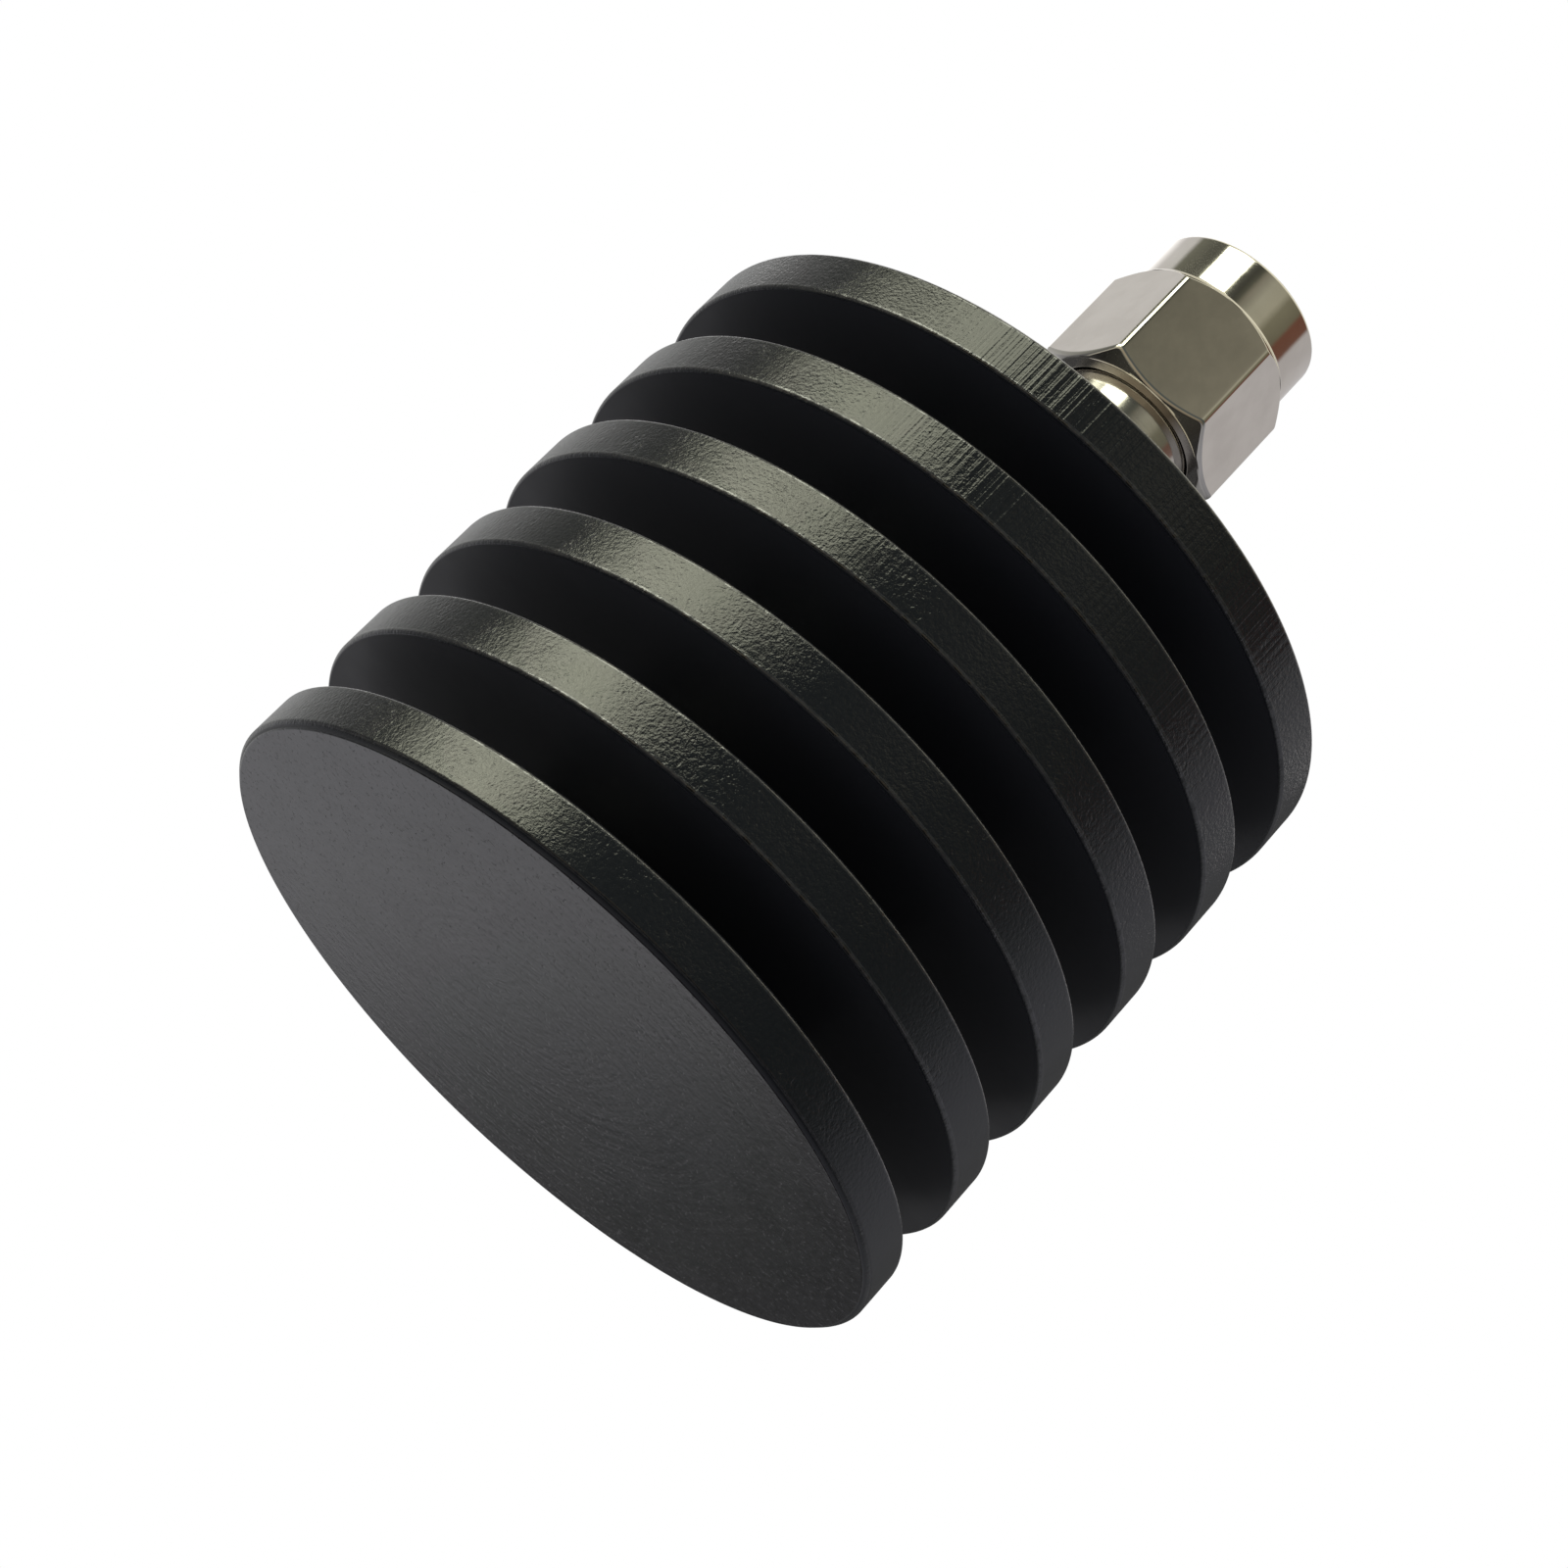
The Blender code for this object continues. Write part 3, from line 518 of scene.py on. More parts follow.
NUT_NICKEL = nickel("polished_nickel_nut", roughness=0.07, wave_depth=0.0030, line_depth=0.0001)
BODY_NICKEL = nickel("turned_nickel_body", roughness=0.12, wave_depth=0.0020, line_depth=0.0006)
print("made", NUT_NICKEL.name, BODY_NICKEL.name)

# %% [markdown]
# ## The plug's body
# A sleeve, a barrel with a groove for the split ring, a shoulder with two spanner flats, and a
# spigot pressed into the heat sink. The flats stand on a thin round land. To cut them, the section
# has two corners in the same place at the top of the land: the upper circle and all above it is
# pushed in flat, the lower one stays round, and what still coincides is merged.

# %% The plug's body
SLEEVE_RADIUS = 2.295
SLEEVE_WALL = 0.23
SLEEVE_BORE = SLEEVE_RADIUS - SLEEVE_WALL
SLEEVE_CHAMFER = 0.06
BORE_STEP = 0.55
REAR_BORE = SLEEVE_BORE + BORE_STEP
BARREL_RADIUS = 3.25
BARREL_TOP = SEAL_LOW.z - SEAT_CLEARANCE
BARREL_CHAMFER = 0.15
RING_GROOVE_RADIUS = 2.60
RING_CLEARANCE = 0.05
NUT_PLAY = 0.30
RING_GROOVE_BOTTOM = RING_LOW.z - RING_CLEARANCE
RING_GROOVE_TOP = RING_HIGH.z + RING_CLEARANCE + NUT_PLAY
NECK_LENGTH = 7.00
NECK_FOOT = NUT_LOW.z - NECK_LENGTH
NECK_FILLET = 0.80
SHOULDER_RADIUS = BODY_HIGH.y
SHOULDER_THICKNESS = 1.50
SHOULDER_FOOT = NECK_FOOT - SHOULDER_THICKNESS
SHOULDER_CHAMFER = 0.20
SPANNER_FLAT_DEPTH = 0.78
FLAT_DISTANCE = SHOULDER_RADIUS - SPANNER_FLAT_DEPTH
LAND_THICKNESS = 0.45
LAND_TOP = SHOULDER_FOOT + LAND_THICKNESS
SPIGOT_RADIUS = SPIGOT_HOLE_RADIUS - SEAT_CLEARANCE
SPIGOT_CHAMFER = 0.30
UNDERCUT_DEPTH = 0.35
UNDERCUT_LENGTH = 0.80
UNDERCUT_END = 1.15
COLLAR_LENGTH = 1.00
INSULATOR_STEP = TUBE_LOW.z + COLLAR_LENGTH + SEAT_CLEARANCE
BODY_STEPS = 192


def plug_body_section():
    """From the tip of the sleeve down the outside to the spigot, and back up through the bore."""
    undercut_radius = SPIGOT_RADIUS - UNDERCUT_DEPTH
    return [
        (SLEEVE_RADIUS - SLEEVE_CHAMFER, BODY_HIGH.z, HAIR_EDGE),
        (SLEEVE_RADIUS, BODY_HIGH.z - SLEEVE_CHAMFER, HAIR_EDGE),
        (SLEEVE_RADIUS, BARREL_TOP, FOOT_EDGE),
        (BARREL_RADIUS - BARREL_CHAMFER, BARREL_TOP, SOFT_EDGE),
        (BARREL_RADIUS, BARREL_TOP - BARREL_CHAMFER, SOFT_EDGE),
        (BARREL_RADIUS, RING_GROOVE_TOP, FINE_EDGE),
        (RING_GROOVE_RADIUS, RING_GROOVE_TOP, BROKEN_EDGE),
        (RING_GROOVE_RADIUS, RING_GROOVE_BOTTOM, BROKEN_EDGE),
        (BARREL_RADIUS, RING_GROOVE_BOTTOM, FINE_EDGE),
        (BARREL_RADIUS, NECK_FOOT, NECK_FILLET),
        (SHOULDER_RADIUS - SHOULDER_CHAMFER, NECK_FOOT, SOFT_EDGE),
        (SHOULDER_RADIUS, NECK_FOOT - SHOULDER_CHAMFER, SOFT_EDGE),
        (SHOULDER_RADIUS, LAND_TOP),
        (SHOULDER_RADIUS, LAND_TOP),
        (SHOULDER_RADIUS, SHOULDER_FOOT, FINE_EDGE),
        (undercut_radius, SHOULDER_FOOT, UNDERCUT_EDGE),
        (undercut_radius, SHOULDER_FOOT - UNDERCUT_LENGTH, UNDERCUT_EDGE),
        (SPIGOT_RADIUS, SHOULDER_FOOT - UNDERCUT_END, SOFT_EDGE),
        (SPIGOT_RADIUS, BODY_LOW.z + SPIGOT_CHAMFER, SOFT_EDGE),
        (SPIGOT_RADIUS - SPIGOT_CHAMFER, BODY_LOW.z, SOFT_EDGE),
        (REAR_BORE, BODY_LOW.z, SOFT_EDGE),
        (REAR_BORE, INSULATOR_STEP),
        (SLEEVE_BORE, INSULATOR_STEP, HAIR_EDGE),
        (SLEEVE_BORE, BODY_HIGH.z, HAIR_EDGE),
    ]


def turn_plug_body():
    """Turn the body with a doubled circle at the land, flatten what is above it, then merge."""
    bm = bmesh.new()
    draw_section(bm, plug_body_section(), closed=True)
    corners = [vert for vert in bm.verts if abs(vert.co.x - SHOULDER_RADIUS) < WELD]
    land = [vert for vert in corners if abs(vert.co.z - LAND_TOP) < WELD]
    upper = next(vert for vert in land if any(edge.other_vert(vert).co.z > LAND_TOP + WELD
                                              for edge in vert.link_edges))
    upper.co.z += 2 * WELD
    bmesh.ops.spin(bm, geom=bm.verts[:] + bm.edges[:], axis=(0, 0, 1), cent=(0, 0, 0),
                   angle=math.tau, steps=BODY_STEPS, use_merge=True)
    for vert in bm.verts:
        beside_flats = LAND_TOP + WELD < vert.co.z < NECK_FOOT + WELD
        if beside_flats and abs(vert.co.x) > FLAT_DISTANCE:
            vert.co.x = math.copysign(FLAT_DISTANCE, vert.co.x)
    bmesh.ops.remove_doubles(bm, verts=bm.verts[:], dist=3 * WELD)
    bmesh.ops.recalc_face_normals(bm, faces=bm.faces[:])
    return bm


place(turn_plug_body(), "turned_plug_body", BODY_NICKEL,
      "heat_sink_and_plug", "connector_body")

# %% [markdown]
# ## The coupling nut
# The nut is turned from hexagon bar: behind, the bar's corners are chamfered, and in front a round
# nose is left. So a round blank is turned first, and then its outer wall is pushed in to the six
# flats. Whatever is pushed in slides along the turned chamfers, which draws the curved edges that
# every real nut has and keeps their small roundings. The bar's own corners are soft.

# %% The nut's blank and its flats
NUT_BORE = 3.30
THREAD_CREST_RADIUS = 2.80
THREAD_ROOT_RADIUS = 3.175
RING_SLOT_RADIUS = RING_HIGH.y + RING_CLEARANCE
HEX_APOTHEM = NUT_HIGH.y
HEX_CORNER_RADIUS = NUT_HIGH.x
CORNER_ROUNDING = 0.385
HEX_LENGTH = 5.75
HEX_TOP = NUT_LOW.z + HEX_LENGTH
NOSE_BELOW_FLATS = 0.05
NOSE_RADIUS = HEX_APOTHEM - NOSE_BELOW_FLATS
REAR_FACE_BELOW_FLATS = 0.10
REAR_FACE_RADIUS = HEX_APOTHEM - REAR_FACE_BELOW_FLATS
REAR_SLOPE = math.tan(math.radians(38.0))
FRONT_SLOPE = math.tan(math.radians(45.0))
REAR_CHAMFER = (HEX_CORNER_RADIUS - REAR_FACE_RADIUS) * REAR_SLOPE
FRONT_CHAMFER = (HEX_CORNER_RADIUS - NOSE_RADIUS) * FRONT_SLOPE
NOSE_EDGE_ROUNDING = 0.20
NOSE_FOOT_ROUNDING = 0.09
FRONT_EDGE_ROUNDING = 0.03
REAR_EDGE_ROUNDING = 0.14
REAR_BORE_CHAMFER = 0.08
MOUTH_CHAMFER = 0.45
THREAD_GAP = 0.25
THREAD_START = SEAL_HIGH.z + THREAD_GAP
THREAD_RUN_IN = 0.125
RING_SLOT_BOTTOM = RING_LOW.z - RING_CLEARANCE
RING_SLOT_TOP = RING_HIGH.z + RING_CLEARANCE
NUT_STEPS = 480


def nut_blank_section():
    """From the mouth over the nose and the hexagon's blank, and back up through the bore."""
    mouth_radius = THREAD_CREST_RADIUS + MOUTH_CHAMFER
    return [
        (mouth_radius, NUT_HIGH.z, FINE_EDGE),
        (NOSE_RADIUS, NUT_HIGH.z, NOSE_EDGE_ROUNDING),
        (NOSE_RADIUS, HEX_TOP, NOSE_FOOT_ROUNDING),
        (HEX_CORNER_RADIUS, HEX_TOP - FRONT_CHAMFER, FRONT_EDGE_ROUNDING),
        (HEX_CORNER_RADIUS, NUT_LOW.z + REAR_CHAMFER, REAR_EDGE_ROUNDING),
        (REAR_FACE_RADIUS, NUT_LOW.z, BROKEN_EDGE),
        (NUT_BORE + REAR_BORE_CHAMFER, NUT_LOW.z, FINE_EDGE),
        (NUT_BORE, NUT_LOW.z + REAR_BORE_CHAMFER, FINE_EDGE),
        (NUT_BORE, RING_SLOT_BOTTOM, HAIR_EDGE),
        (RING_SLOT_RADIUS, RING_SLOT_BOTTOM, HAIR_EDGE),
        (RING_SLOT_RADIUS, RING_SLOT_TOP, HAIR_EDGE),
        (NUT_BORE, RING_SLOT_TOP, HAIR_EDGE),
        (NUT_BORE, THREAD_START, HAIR_EDGE),
        (THREAD_ROOT_RADIUS, THREAD_START + THREAD_RUN_IN),
        (THREAD_ROOT_RADIUS, NUT_HIGH.z - mouth_radius + THREAD_ROOT_RADIUS),
    ]


def hexagon_radius(angle):
    """Distance from the axis to the soft-cornered hexagon, at an angle from the middle of a flat."""
    sixth, half = math.pi / 3, math.pi / 6
    off_flat = abs((angle + half) % sixth - half)
    inner_apothem = HEX_APOTHEM - CORNER_ROUNDING
    if HEX_APOTHEM * math.tan(off_flat) < inner_apothem * math.tan(half):
        return HEX_APOTHEM / math.cos(off_flat)
    centre, off_corner = inner_apothem / math.cos(half), half - off_flat
    beyond_centre = math.sqrt(CORNER_ROUNDING**2 - (centre * math.sin(off_corner))**2)
    return centre * math.cos(off_corner) + beyond_centre


def plane_flats(bm):
    """Push the blank's outer wall in to the hexagon, sliding its two edges along their chamfers."""
    wall = HEX_CORNER_RADIUS - REAR_EDGE_ROUNDING - WELD
    for vert in bm.verts:
        radius = math.hypot(vert.co.x, vert.co.y)
        if radius > wall:
            inward = HEX_CORNER_RADIUS - hexagon_radius(math.atan2(vert.co.x, vert.co.y))
            vert.co.x *= 1 - inward / radius
            vert.co.y *= 1 - inward / radius
            at_front = vert.co.z > HEX_TOP - 2 * FRONT_CHAMFER
            vert.co.z += inward * (FRONT_SLOPE if at_front else -REAR_SLOPE)


# %% [markdown]
# ## The thread
# A quarter-inch thread with 36 turns to the inch. It is a ridge with 60 degree flanks that climbs
# the bore, so it is made by the same spin with a lift added at each step. Its foot is sunk a little
# into the wall, and its crest is trimmed where it meets the chamfer of the mouth and the run-out.

# %% The thread and the finished nut
INCH = 25.4
TURNS_PER_INCH = 36
THREAD_PITCH = INCH / TURNS_PER_INCH
RIDGE_SINK = 0.04
RIDGE_START = 0.1
TURN_STEPS = 72
ROOT_HALF_WIDTH = THREAD_PITCH * 7 / 16
CREST_HALF_WIDTH = THREAD_PITCH / 8


def add_thread(bm):
    """Spin the ridge with a lift at each step, then trim its crest at both ends."""
    blank = set(bm.verts)
    corners = [
        (THREAD_ROOT_RADIUS + RIDGE_SINK, -ROOT_HALF_WIDTH),
        (THREAD_ROOT_RADIUS, -ROOT_HALF_WIDTH),
        (THREAD_CREST_RADIUS, -CREST_HALF_WIDTH),
        (THREAD_CREST_RADIUS, CREST_HALF_WIDTH),
        (THREAD_ROOT_RADIUS, ROOT_HALF_WIDTH),
        (THREAD_ROOT_RADIUS + RIDGE_SINK, ROOT_HALF_WIDTH),
    ]
    start = THREAD_START + ROOT_HALF_WIDTH + RIDGE_START
    length = NUT_HIGH.z - ROOT_HALF_WIDTH - start
    steps = int(TURN_STEPS * length / THREAD_PITCH)
    verts = [bm.verts.new((radius, 0.0, start + height)) for radius, height in corners]
    edges = [bm.edges.new(pair) for pair in zip(verts, verts[1:] + verts[:1])]
    bmesh.ops.spin(bm, geom=verts + edges, axis=(0, 0, 1), cent=(0, 0, 0), steps=steps,
                   angle=math.tau * steps / TURN_STEPS, dvec=(0, 0, THREAD_PITCH / TURN_STEPS))
    bmesh.ops.holes_fill(bm, edges=[edge for edge in bm.edges if edge.is_boundary], sides=0)
    for vert in bm.verts:
        if vert in blank:
            continue
        radius = math.hypot(vert.co.x, vert.co.y)
        mouth = THREAD_CREST_RADIUS + vert.co.z - (NUT_HIGH.z - MOUTH_CHAMFER)
        run_out = THREAD_ROOT_RADIUS - (vert.co.z - start) / THREAD_PITCH
        kept = min(max(radius, mouth, run_out), THREAD_ROOT_RADIUS + RIDGE_SINK)
        vert.co.x *= kept / radius
        vert.co.y *= kept / radius
    bmesh.ops.recalc_face_normals(bm, faces=bm.faces[:])


def make_nut():
    bm = turn(nut_blank_section(), NUT_STEPS, closed=True)
    plane_flats(bm)
    add_thread(bm)
    return bm


place(make_nut(), "hexagon_nut", NUT_NICKEL, "nut", "coupling_nut")

# %% [markdown]
# ## Plain finishes for what is inside
# The rest is seen only through the mouth of the nut or when the plug is taken apart. Each finish
# still gets its own grain: drawn metal has lines, rubber has a soft mottle, and the insulator is a
# waxy white plastic. One function makes them all from a pair of colours.

# %% Inner finishes
GRAIN_LEVELS = (0.3, 0.7)
DULL_BY = 0.06
SHINY_BY = 0.03


def inner_finish(name, dark, pale, metallic, roughness, per_mm, depth):
    """A finish with a grain: its colour goes from dark to pale and its surface rises with it."""
    material, tree, shader = new_material(name, metallic, roughness)
    grain = noise(tree, millimetres(tree), per_mm, detail=3.0)
    colour = blend_colours(tree, fade(tree, grain, *GRAIN_LEVELS), dark, pale)
    gloss = fade(tree, grain, *GRAIN_LEVELS, roughness + DULL_BY, roughness - SHINY_BY)
    tree.links.new(colour, shader.inputs["Base Color"])
    tree.links.new(gloss, shader.inputs["Roughness"])
    tree.links.new(bump(tree, grain, depth), shader.inputs["Normal"])
    return material


# Each row has the dark and the pale colour, metallic, roughness, grains per mm, and their depth.
INNER_FINISHES = {
    "spring_bronze": ((0.42, 0.26, 0.13), (0.58, 0.38, 0.20), 1.0, 0.28, 6.0, 0.002),
    "red_silicone": ((0.36, 0.035, 0.022), (0.50, 0.060, 0.040), 0.0, 0.50, 4.0, 0.010),
    "white_insulator": ((0.78, 0.78, 0.75), (0.86, 0.86, 0.84), 0.0, 0.38, 3.0, 0.004),
    "cream_bead": ((0.70, 0.68, 0.60), (0.80, 0.78, 0.71), 0.0, 0.42, 3.0, 0.004),
    "gold_plate": ((0.76, 0.53, 0.20), (0.88, 0.66, 0.30), 1.0, 0.17, 5.0, 0.001),
    "silvered_cap": ((0.66, 0.65, 0.62), (0.80, 0.79, 0.76), 1.0, 0.22, 5.0, 0.001),
    "resistive_film": ((0.030, 0.030, 0.034), (0.060, 0.060, 0.066), 0.0, 0.32, 8.0, 0.002),
    "bare_brass": ((0.50, 0.36, 0.14), (0.66, 0.50, 0.22), 1.0, 0.26, 7.0, 0.002),
    "spring_steel": ((0.34, 0.34, 0.35), (0.50, 0.50, 0.51), 1.0, 0.28, 7.0, 0.002),
}
FINISHES = {name: inner_finish(name, *values) for name, values in INNER_FINISHES.items()}

# %% Dressing the nodes that keep their own solids
INNER_NODES = {
    "support_bead": "cream_bead",
    "front_cap": "silvered_cap",
    "resistor_rod": "resistive_film",
    "rear_cap": "silvered_cap",
    "taper_sleeve": "bare_brass",
    "ground_plug": "bare_brass",
    "disc_spring": "spring_steel",
}
for node, finish in INNER_NODES.items():
    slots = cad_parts[node].data.materials
    slots.clear()
    slots.append(FINISHES[finish])
print("inner nodes dressed:", len(INNER_NODES))

# %% [markdown]
# ## Ring, seal, insulator and pin
# These four show when the nut is looked into. The ring is sprung open by a gap, so it is a part
# turn with its two ends closed. The pin is gold plated, with a long point that finds its socket.

# %% Split ring and seal
RING_SPLIT = 1.60
RING_WIDTH = 0.60
RING_ROUNDING = 0.08
SEAL_INNER_RADIUS = SLEEVE_RADIUS + SEAT_CLEARANCE
SEAL_ROUNDING = 0.16
SMALL_STEPS = 96


def ring_corners(inner, outer, bottom, top, rounding):
    """The section of a plain ring, with all four corners rounded alike."""
    corners = [(outer, top), (outer, bottom), (inner, bottom), (inner, top)]
    return [(*corner, rounding) for corner in corners]


split_angle = 2 * math.asin(RING_SPLIT / 2 / RING_HIGH.y)
ring_section = ring_corners(RING_HIGH.y - RING_WIDTH, RING_HIGH.y, RING_LOW.z, RING_HIGH.z,
                            RING_ROUNDING)
ring = turn(ring_section, SMALL_STEPS, closed=True, angle=math.tau - split_angle)
bmesh.ops.rotate(ring, cent=(0, 0, 0), verts=ring.verts[:],
                 matrix=Quaternion((0, 0, 1), math.pi / 2 + split_angle / 2).to_matrix())
place(ring, "split_ring", FINISHES["spring_bronze"],
      "ring_carrier", "retaining_ring")

seal = turn(ring_corners(SEAL_INNER_RADIUS, SEAL_HIGH.x, SEAL_LOW.z, SEAL_HIGH.z, SEAL_ROUNDING),
            SMALL_STEPS, closed=True)
place(seal, "face_seal", FINISHES["red_silicone"], "heat_sink_and_plug", "gasket")

# %% Insulator and pin
# The bore divided by the pin that gives 50 ohm, in the insulator and in air.
RATIO_IN_INSULATOR = 3.25
RATIO_IN_AIR = 2.30
PIN_STEM_RADIUS = SLEEVE_BORE / RATIO_IN_INSULATOR
PIN_AIR_RADIUS = REAR_BORE / RATIO_IN_AIR
PIN_RADIUS = 0.46
PIN_TIP_RADIUS = 0.18
PIN_POINT = 0.45
PIN_TAIL_RADIUS = 0.75
TAIL_CHAMFER = 0.12
PIN_SHOULDER = TUBE_LOW.z - SEAT_CLEARANCE
BEAD_TOP = box_mm("support_bead")[1].z + SEAT_CLEARANCE


def insulator_section():
    hole = PIN_STEM_RADIUS + SEAT_CLEARANCE
    return [
        (SLEEVE_BORE - SEAT_CLEARANCE, TUBE_HIGH.z, SOFT_EDGE),
        (SLEEVE_BORE - SEAT_CLEARANCE, TUBE_LOW.z + COLLAR_LENGTH, SOFT_EDGE),
        (TUBE_HIGH.x, TUBE_LOW.z + COLLAR_LENGTH, BROKEN_EDGE),
        (TUBE_HIGH.x, TUBE_LOW.z, BROKEN_EDGE),
        (hole, TUBE_LOW.z, FINE_EDGE),
        (hole, TUBE_HIGH.z, FINE_EDGE),
    ]


def pin_section():
    return [
        (0.0, PIN_HIGH.z),
        (PIN_TIP_RADIUS, PIN_HIGH.z, FOOT_EDGE),
        (PIN_RADIUS, PIN_HIGH.z - PIN_POINT, FOOT_EDGE),
        (PIN_RADIUS, TUBE_HIGH.z, FINE_EDGE),
        (PIN_STEM_RADIUS, TUBE_HIGH.z, FINE_EDGE),
        (PIN_STEM_RADIUS, PIN_SHOULDER, FINE_EDGE),
        (PIN_AIR_RADIUS, PIN_SHOULDER, SOFT_EDGE),
        (PIN_AIR_RADIUS, BEAD_TOP, SOFT_EDGE),
        (PIN_TAIL_RADIUS, BEAD_TOP, FINE_EDGE),
        (PIN_TAIL_RADIUS, PIN_LOW.z + TAIL_CHAMFER, FINE_EDGE),
        (PIN_TAIL_RADIUS - TAIL_CHAMFER, PIN_LOW.z, FINE_EDGE),
        (0.0, PIN_LOW.z),
    ]


place(turn(insulator_section(), SMALL_STEPS, closed=True), "insulator_tube",
      FINISHES["white_insulator"], "heat_sink_and_plug", "dielectric")
place(turn(pin_section(), SMALL_STEPS), "gold_pin", FINISHES["gold_plate"],
      "heat_sink_and_plug", "centre_contact")

# %% [markdown]
# ## The floor
# The photograph is a cut-out on white, taken from a little below the closed face: the part was
# lying or held, and this model stands on that face. A floor in the usual sense would hide it, so
# the floor is a pale sheet that can be seen only from above. It takes the shadow of the part, fades
# into the white all round, and blocks no light.

# %% The floor
FLOOR_DROP = 0.2
FLOOR_RADIUS = 260.0
FLOOR_FADE_START = 90.0
FLOOR_COLOUR = (0.86, 0.86, 0.85)
FLOOR_SHADE = 0.98
FLOOR_GRAIN_PER_MM = 0.2


def floor_material():
    """Pale matt paint from above, and clear from below and far out."""
    material = bpy.data.materials.new("pale_floor")
    material.use_nodes = True
    tree = material.node_tree
    tree.nodes.clear()
    grain = noise(tree, millimetres(tree), FLOOR_GRAIN_PER_MM)
    shaded = tuple(FLOOR_SHADE * part for part in FLOOR_COLOUR)
    colour = blend_colours(tree, grain, FLOOR_COLOUR, shaded)
    paint = add_node(tree, "ShaderNodeBsdfDiffuse", {"Color": colour})
    clear = add_node(tree, "ShaderNodeBsdfTransparent")
    distance = add_node(tree, "ShaderNodeVectorMath", {0: millimetres(tree)}, operation="LENGTH")
    far = fade(tree, distance.outputs["Value"], FLOOR_FADE_START, FLOOR_RADIUS)
    below = add_node(tree, "ShaderNodeNewGeometry").outputs["Backfacing"]
    hidden = maths(tree, "MAXIMUM", far, below)
    mix = add_node(tree, "ShaderNodeMixShader",
                   {0: hidden, 1: paint.outputs[0], 2: clear.outputs[0]})
    add_node(tree, "ShaderNodeOutputMaterial", {0: mix.outputs[0]})
    return material


def make_floor():
    """A disc that faces up, takes shadows and is left out of all other light."""
    bm = bmesh.new()
    bmesh.ops.create_circle(bm, cap_ends=True, segments=SMALL_STEPS,
                            radius=FLOOR_RADIUS * MM)
    bmesh.ops.translate(bm, vec=(0, 0, -FLOOR_DROP * MM), verts=bm.verts[:])
    bmesh.ops.recalc_face_normals(bm, faces=bm.faces[:])
    if next(iter(bm.faces)).normal.z < 0:
        bmesh.ops.reverse_faces(bm, faces=bm.faces[:])
    mesh = bpy.data.meshes.new("floor")
    bm.to_mesh(mesh)
    bm.free()
    mesh.materials.append(floor_material())
    floor = bpy.data.objects.new("floor", mesh)
    bpy.context.scene.collection.objects.link(floor)
    floor.visible_shadow = False
    floor.visible_diffuse = False
    floor.visible_glossy = False
    floor.visible_transmission = False
    print("floor of radius", FLOOR_RADIUS, "mm")


make_floor()

# %% [markdown]
# ## The room in the metal
# Polished nickel shows the room round it, and here that room is painted into the world by
# direction, for glossy rays alone. The camera and clear materials see plain white, and rough
# surfaces get an even, weaker white.
#
# The camera looks up at the part, more steeply at the nut than at the fins, so the two show
# different heights of the room. UPPER is what the nut shows: a pale wall to the left, the
# photographer's side in olive shade, a warm brown edge, and pale wall again. LOWER is what the rims
# show: soft shade with a bright stretch beside the lamp. OVERHEAD is a cream ceiling. UNDER is what
# the closed face shows from below. That face is flat, so all of it shows one small part of the
# room, and its ramp turns with the height of the direction, which slants the face's shading.

# %% What the room looks like
# Angles are in degrees round the axis from the camera's side, and are positive to the left. For
# UNDER they start from the far side, and are positive to the right. A colour above 1 is brighter
# than the white behind the part. SKY_FILL is the strength of the white that rough surfaces get.
WHITE = (1.0, 1.0, 1.0, 1.0)
SKY_FILL = 0.42
UPPER = [
    (-180, (0.62, 0.600, 0.600)), (-92, (0.60, 0.575, 0.570)), (-86, (0.20, 0.095, 0.065)),
    (-68, (0.20, 0.090, 0.060)), (-63, (0.20, 0.185, 0.125)), (-42, (0.25, 0.235, 0.160)),
    (-32, (0.46, 0.440, 0.330)), (-14, (0.46, 0.445, 0.340)), (-5, (0.34, 0.325, 0.250)),
    (0, (0.29, 0.270, 0.205)), (3, (0.21, 0.200, 0.150)), (6, (0.11, 0.110, 0.080)),
    (12, (0.07, 0.070, 0.055)), (24, (0.10, 0.100, 0.080)), (74, (0.12, 0.120, 0.095)),
    (98, (0.22, 0.220, 0.170)), (106, (0.78, 0.77, 0.74)), (126, (0.80, 0.78, 0.76)),
    (142, (1.30, 1.28, 1.26)), (155, (1.60, 1.60, 1.60)), (180, (1.00, 1.00, 1.00)),
]
LOWER = [
    (-180, (0.06, 0.06, 0.06)), (-153, (0.10, 0.10, 0.10)), (-131, (0.24, 0.24, 0.25)),
    (-108, (0.38, 0.38, 0.41)), (-88, (0.30, 0.31, 0.32)), (-72, (0.12, 0.13, 0.12)),
    (-50, (0.09, 0.10, 0.09)), (-15, (0.12, 0.13, 0.12)), (44, (0.12, 0.14, 0.13)),
    (56, (0.80, 0.80, 0.63)), (66, (2.20, 2.22, 1.75)), (73, (4.70, 4.76, 3.70)),
    (80, (5.30, 5.36, 4.20)), (85, (1.60, 1.60, 1.26)), (91, (0.13, 0.14, 0.12)),
    (104, (0.25, 0.25, 0.22)), (124, (0.52, 0.52, 0.50)), (147, (0.60, 0.60, 0.59)),
    (169, (0.42, 0.42, 0.42)), (180, (0.35, 0.35, 0.35)),
]
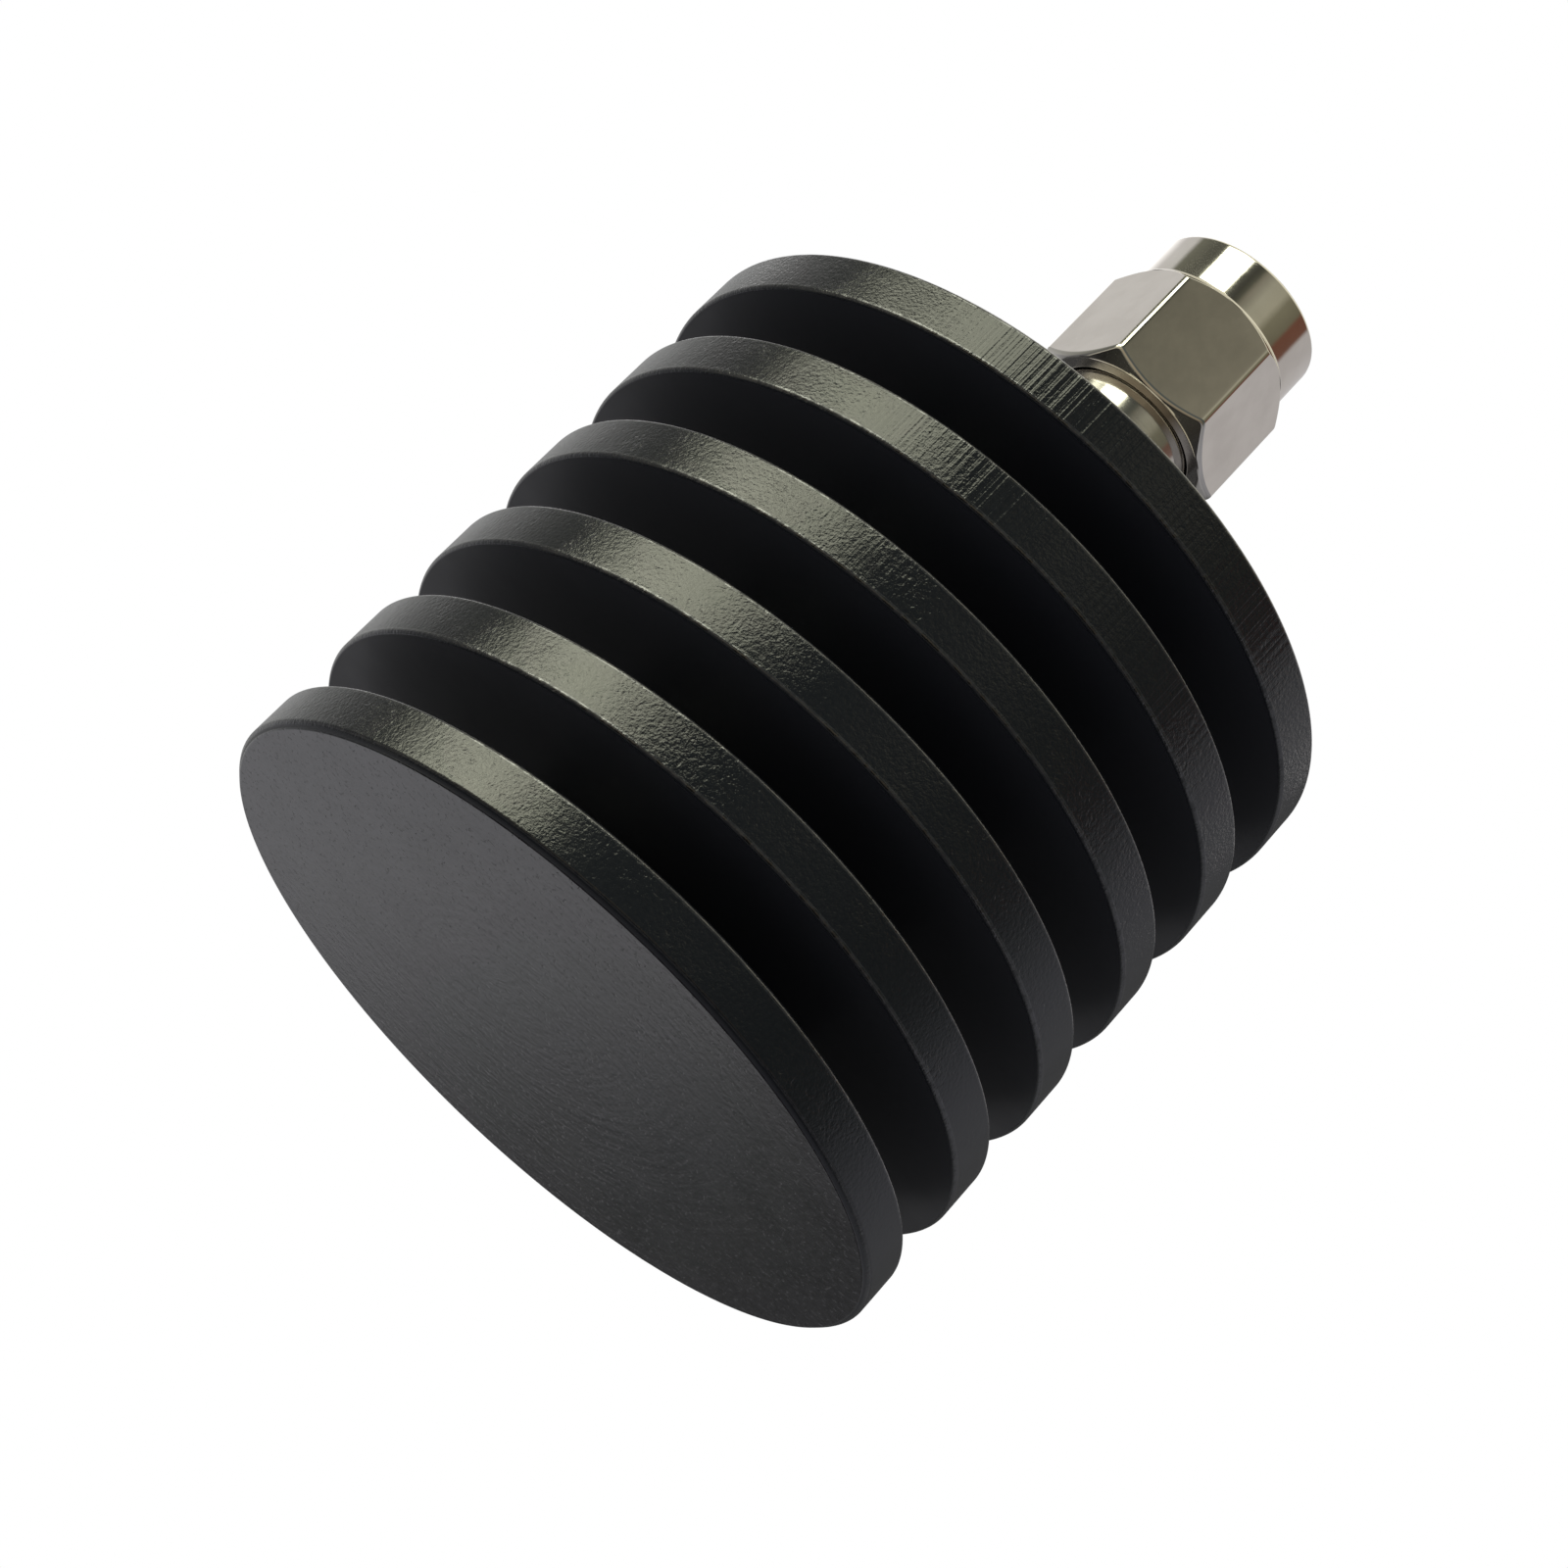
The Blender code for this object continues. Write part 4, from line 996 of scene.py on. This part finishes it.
UNDER = [
    (-180, (0.36, 0.31, 0.22)), (-150, (0.44, 0.38, 0.27)), (-128, (0.68, 0.64, 0.48)),
    (-100, (0.66, 0.63, 0.52)), (-80, (0.15, 0.15, 0.15)), (-68, (0.15, 0.15, 0.15)),
    (-45, (0.36, 0.36, 0.37)), (-25, (0.58, 0.58, 0.60)), (-8, (0.55, 0.545, 0.57)),
    (-5, (0.50, 0.495, 0.51)), (-3, (0.40, 0.40, 0.41)), (-1.5, (0.25, 0.25, 0.255)),
    (0, (0.16, 0.16, 0.16)), (2, (0.09, 0.09, 0.09)), (4, (0.08, 0.08, 0.08)),
    (12, (0.12, 0.12, 0.12)), (30, (0.15, 0.15, 0.15)), (53, (0.38, 0.38, 0.40)),
    (90, (0.38, 0.38, 0.40)), (125, (0.17, 0.14, 0.10)), (180, (0.36, 0.31, 0.22)),
]
OVERHEAD = (1.10, 1.06, 0.84)
STRAIGHT_DOWN = (0.04, 0.04, 0.035)
LEAN = 1.3
FACE_REFLECTS = -0.297

# Heights of a direction, from -1 straight down to 1 straight up, between which two parts blend.
LOWER_TO_UPPER = (0.503, 0.518)
WALL_TO_CEILING = (0.70, 0.90)
# The same downwards, from 0 at the horizon to 1 straight down.
WALL_TO_UNDER = (0.05, 0.20)
UNDER_TO_STRAIGHT_DOWN = (0.50, 0.75)


# %% The world
def ramp_round(tree, across, along, shift, stops):
    """A ramp over the angle from one horizontal direction, in degrees from -180 to 180."""
    angle = maths(tree, "ADD", maths(tree, "ARCTAN2", across, along), shift)
    place_on_ramp = maths(tree, "MULTIPLY_ADD", angle, 1 / math.tau, 0.5)
    places = [(degrees / 360 + 0.5, colour) for degrees, colour in stops]
    return colour_ramp(tree, place_on_ramp, places)


def room_by_direction(tree, direction):
    """The colour of the room in a direction."""
    x, y, z = add_node(tree, "ShaderNodeSeparateXYZ", {0: direction}).outputs
    left, front = maths(tree, "MULTIPLY", x, -1.0), maths(tree, "MULTIPLY", y, -1.0)
    down = maths(tree, "MULTIPLY", z, -1.0)
    upper = ramp_round(tree, left, front, 0.0, UPPER)
    lower = ramp_round(tree, left, front, 0.0, LOWER)
    leaning = times(tree, maths(tree, "SUBTRACT", z, FACE_REFLECTS), LEAN)
    under = ramp_round(tree, x, y, leaning, UNDER)
    walls = blend_by(tree, fade(tree, z, *LOWER_TO_UPPER), lower, upper)
    walls = blend_by(tree, fade(tree, z, *WALL_TO_CEILING), walls, (*OVERHEAD, 1.0))
    sides = blend_by(tree, fade(tree, down, *WALL_TO_UNDER), walls, under)
    return blend_by(tree, fade(tree, down, *UNDER_TO_STRAIGHT_DOWN), sides, (*STRAIGHT_DOWN, 1.0))


def make_world():
    """Glossy rays see the room, the camera and clear things white, and all else an even fill."""
    world = bpy.data.worlds.new("studio")
    bpy.context.scene.world = world
    world.use_nodes = True
    world.cycles.sampling_method = "NONE"
    tree = world.node_tree
    tree.nodes.clear()
    room = room_by_direction(tree, add_node(tree, "ShaderNodeTexCoord").outputs["Generated"])
    path = add_node(tree, "ShaderNodeLightPath").outputs
    glossy = add_node(tree, "ShaderNodeBackground", {"Color": room})
    white = add_node(tree, "ShaderNodeBackground", {"Color": WHITE})
    fill = add_node(tree, "ShaderNodeBackground", {"Color": WHITE, "Strength": SKY_FILL})
    seen = maths(tree, "MAXIMUM", path["Is Camera Ray"], path["Is Transmission Ray"])
    direct = add_node(tree, "ShaderNodeMixShader",
                      {0: seen, 1: fill.outputs[0], 2: white.outputs[0]})
    both = add_node(tree, "ShaderNodeMixShader",
                    {0: path["Is Glossy Ray"], 1: direct.outputs[0], 2: glossy.outputs[0]})
    add_node(tree, "ShaderNodeOutputWorld", {0: both.outputs[0]})
    print("room painted with", len(UPPER) + len(LOWER) + len(UNDER), "colours")


make_world()

# %% [markdown]
# ## The lamp
# One large soft lamp stands to the left of the camera and above it. It makes the cream bands on the
# rims, which are its blurred reflection in the anodising, and the white streaks on the nickel, which
# are its sharp one. Its light is cream. It leans, because the bands in the photograph shift a little
# round the bar from the lowest fin to the highest.

# %% The lamp
LAMP_AROUND = math.radians(-49.2)
LAMP_UP = math.radians(25.6)
LAMP_LEAN = math.radians(-29.0)
# A studio's sizes are thought of in metres, so the lamp's are.
LAMP_DISTANCE = 0.40
LAMP_WIDTH = 0.183
LAMP_HEIGHT = 0.400
LAMP_RADIANCE = 4.7
LAMP_COLOUR = (0.985, 1.0, 0.77)


def direction_to(around, up):
    """Unit vector at an angle round the axis from the -Y side, and an angle above the horizon."""
    return Vector((math.sin(around) * math.cos(up), -math.cos(around) * math.cos(up), math.sin(up)))


def make_lamp():
    """A rectangle of light, aimed at the middle of the heat sink's back face."""
    data = bpy.data.lights.new("soft_lamp", "AREA")
    data.shape = "RECTANGLE"
    data.size = LAMP_WIDTH
    data.size_y = LAMP_HEIGHT
    data.energy = LAMP_RADIANCE * math.pi * LAMP_WIDTH * LAMP_HEIGHT
    data.color = LAMP_COLOUR
    lamp = bpy.data.objects.new("soft_lamp", data)
    towards = direction_to(LAMP_AROUND, LAMP_UP)
    target = Vector((0, 0, BACK_FACE * MM))
    lamp.location = target + towards * LAMP_DISTANCE
    lamp.rotation_mode = "QUATERNION"
    facing = (-towards).to_track_quat("-Z", "Y")
    lamp.rotation_quaternion = facing @ Quaternion((0, 0, 1), LAMP_LEAN)
    bpy.context.scene.collection.objects.link(lamp)
    print("lamp power", round(data.energy, 3), "W")


make_lamp()

# %% [markdown]
# ## The camera
# The camera looks up at the part from about 23 degrees below the horizon and is rolled by 44
# degrees, which is why the axis runs to the upper right of the picture. Its place was found by
# fitting the rims' ellipses and the nut's corners.

# %% The camera
CAMERA_AROUND = math.radians(1.76)
CAMERA_UP = math.radians(-23.08)
CAMERA_ROLL = math.radians(43.67)
CAMERA_DISTANCE = 134.4
CAMERA_AIM_HEIGHT = 14.17
CAMERA_LENS = 79.75
NEAREST_SEEN = 5.0

back = direction_to(CAMERA_AROUND, CAMERA_UP)
camera = bpy.data.objects.new("camera", bpy.data.cameras.new("camera"))
camera.data.lens = CAMERA_LENS
camera.data.clip_start = NEAREST_SEEN * MM
camera.location = (Vector((0, 0, CAMERA_AIM_HEIGHT)) + back * CAMERA_DISTANCE) * MM
camera.rotation_mode = "QUATERNION"
facing = (-back).to_track_quat("-Z", "Y")
camera.rotation_quaternion = facing @ Quaternion((0, 0, 1), CAMERA_ROLL)
bpy.context.scene.collection.objects.link(camera)
bpy.context.scene.camera = camera
bpy.context.scene.view_settings.view_transform = "Standard"
bpy.context.view_layer.update()
print("camera right", [round(x, 4) for x in camera.matrix_world.to_3x3().col[0]])
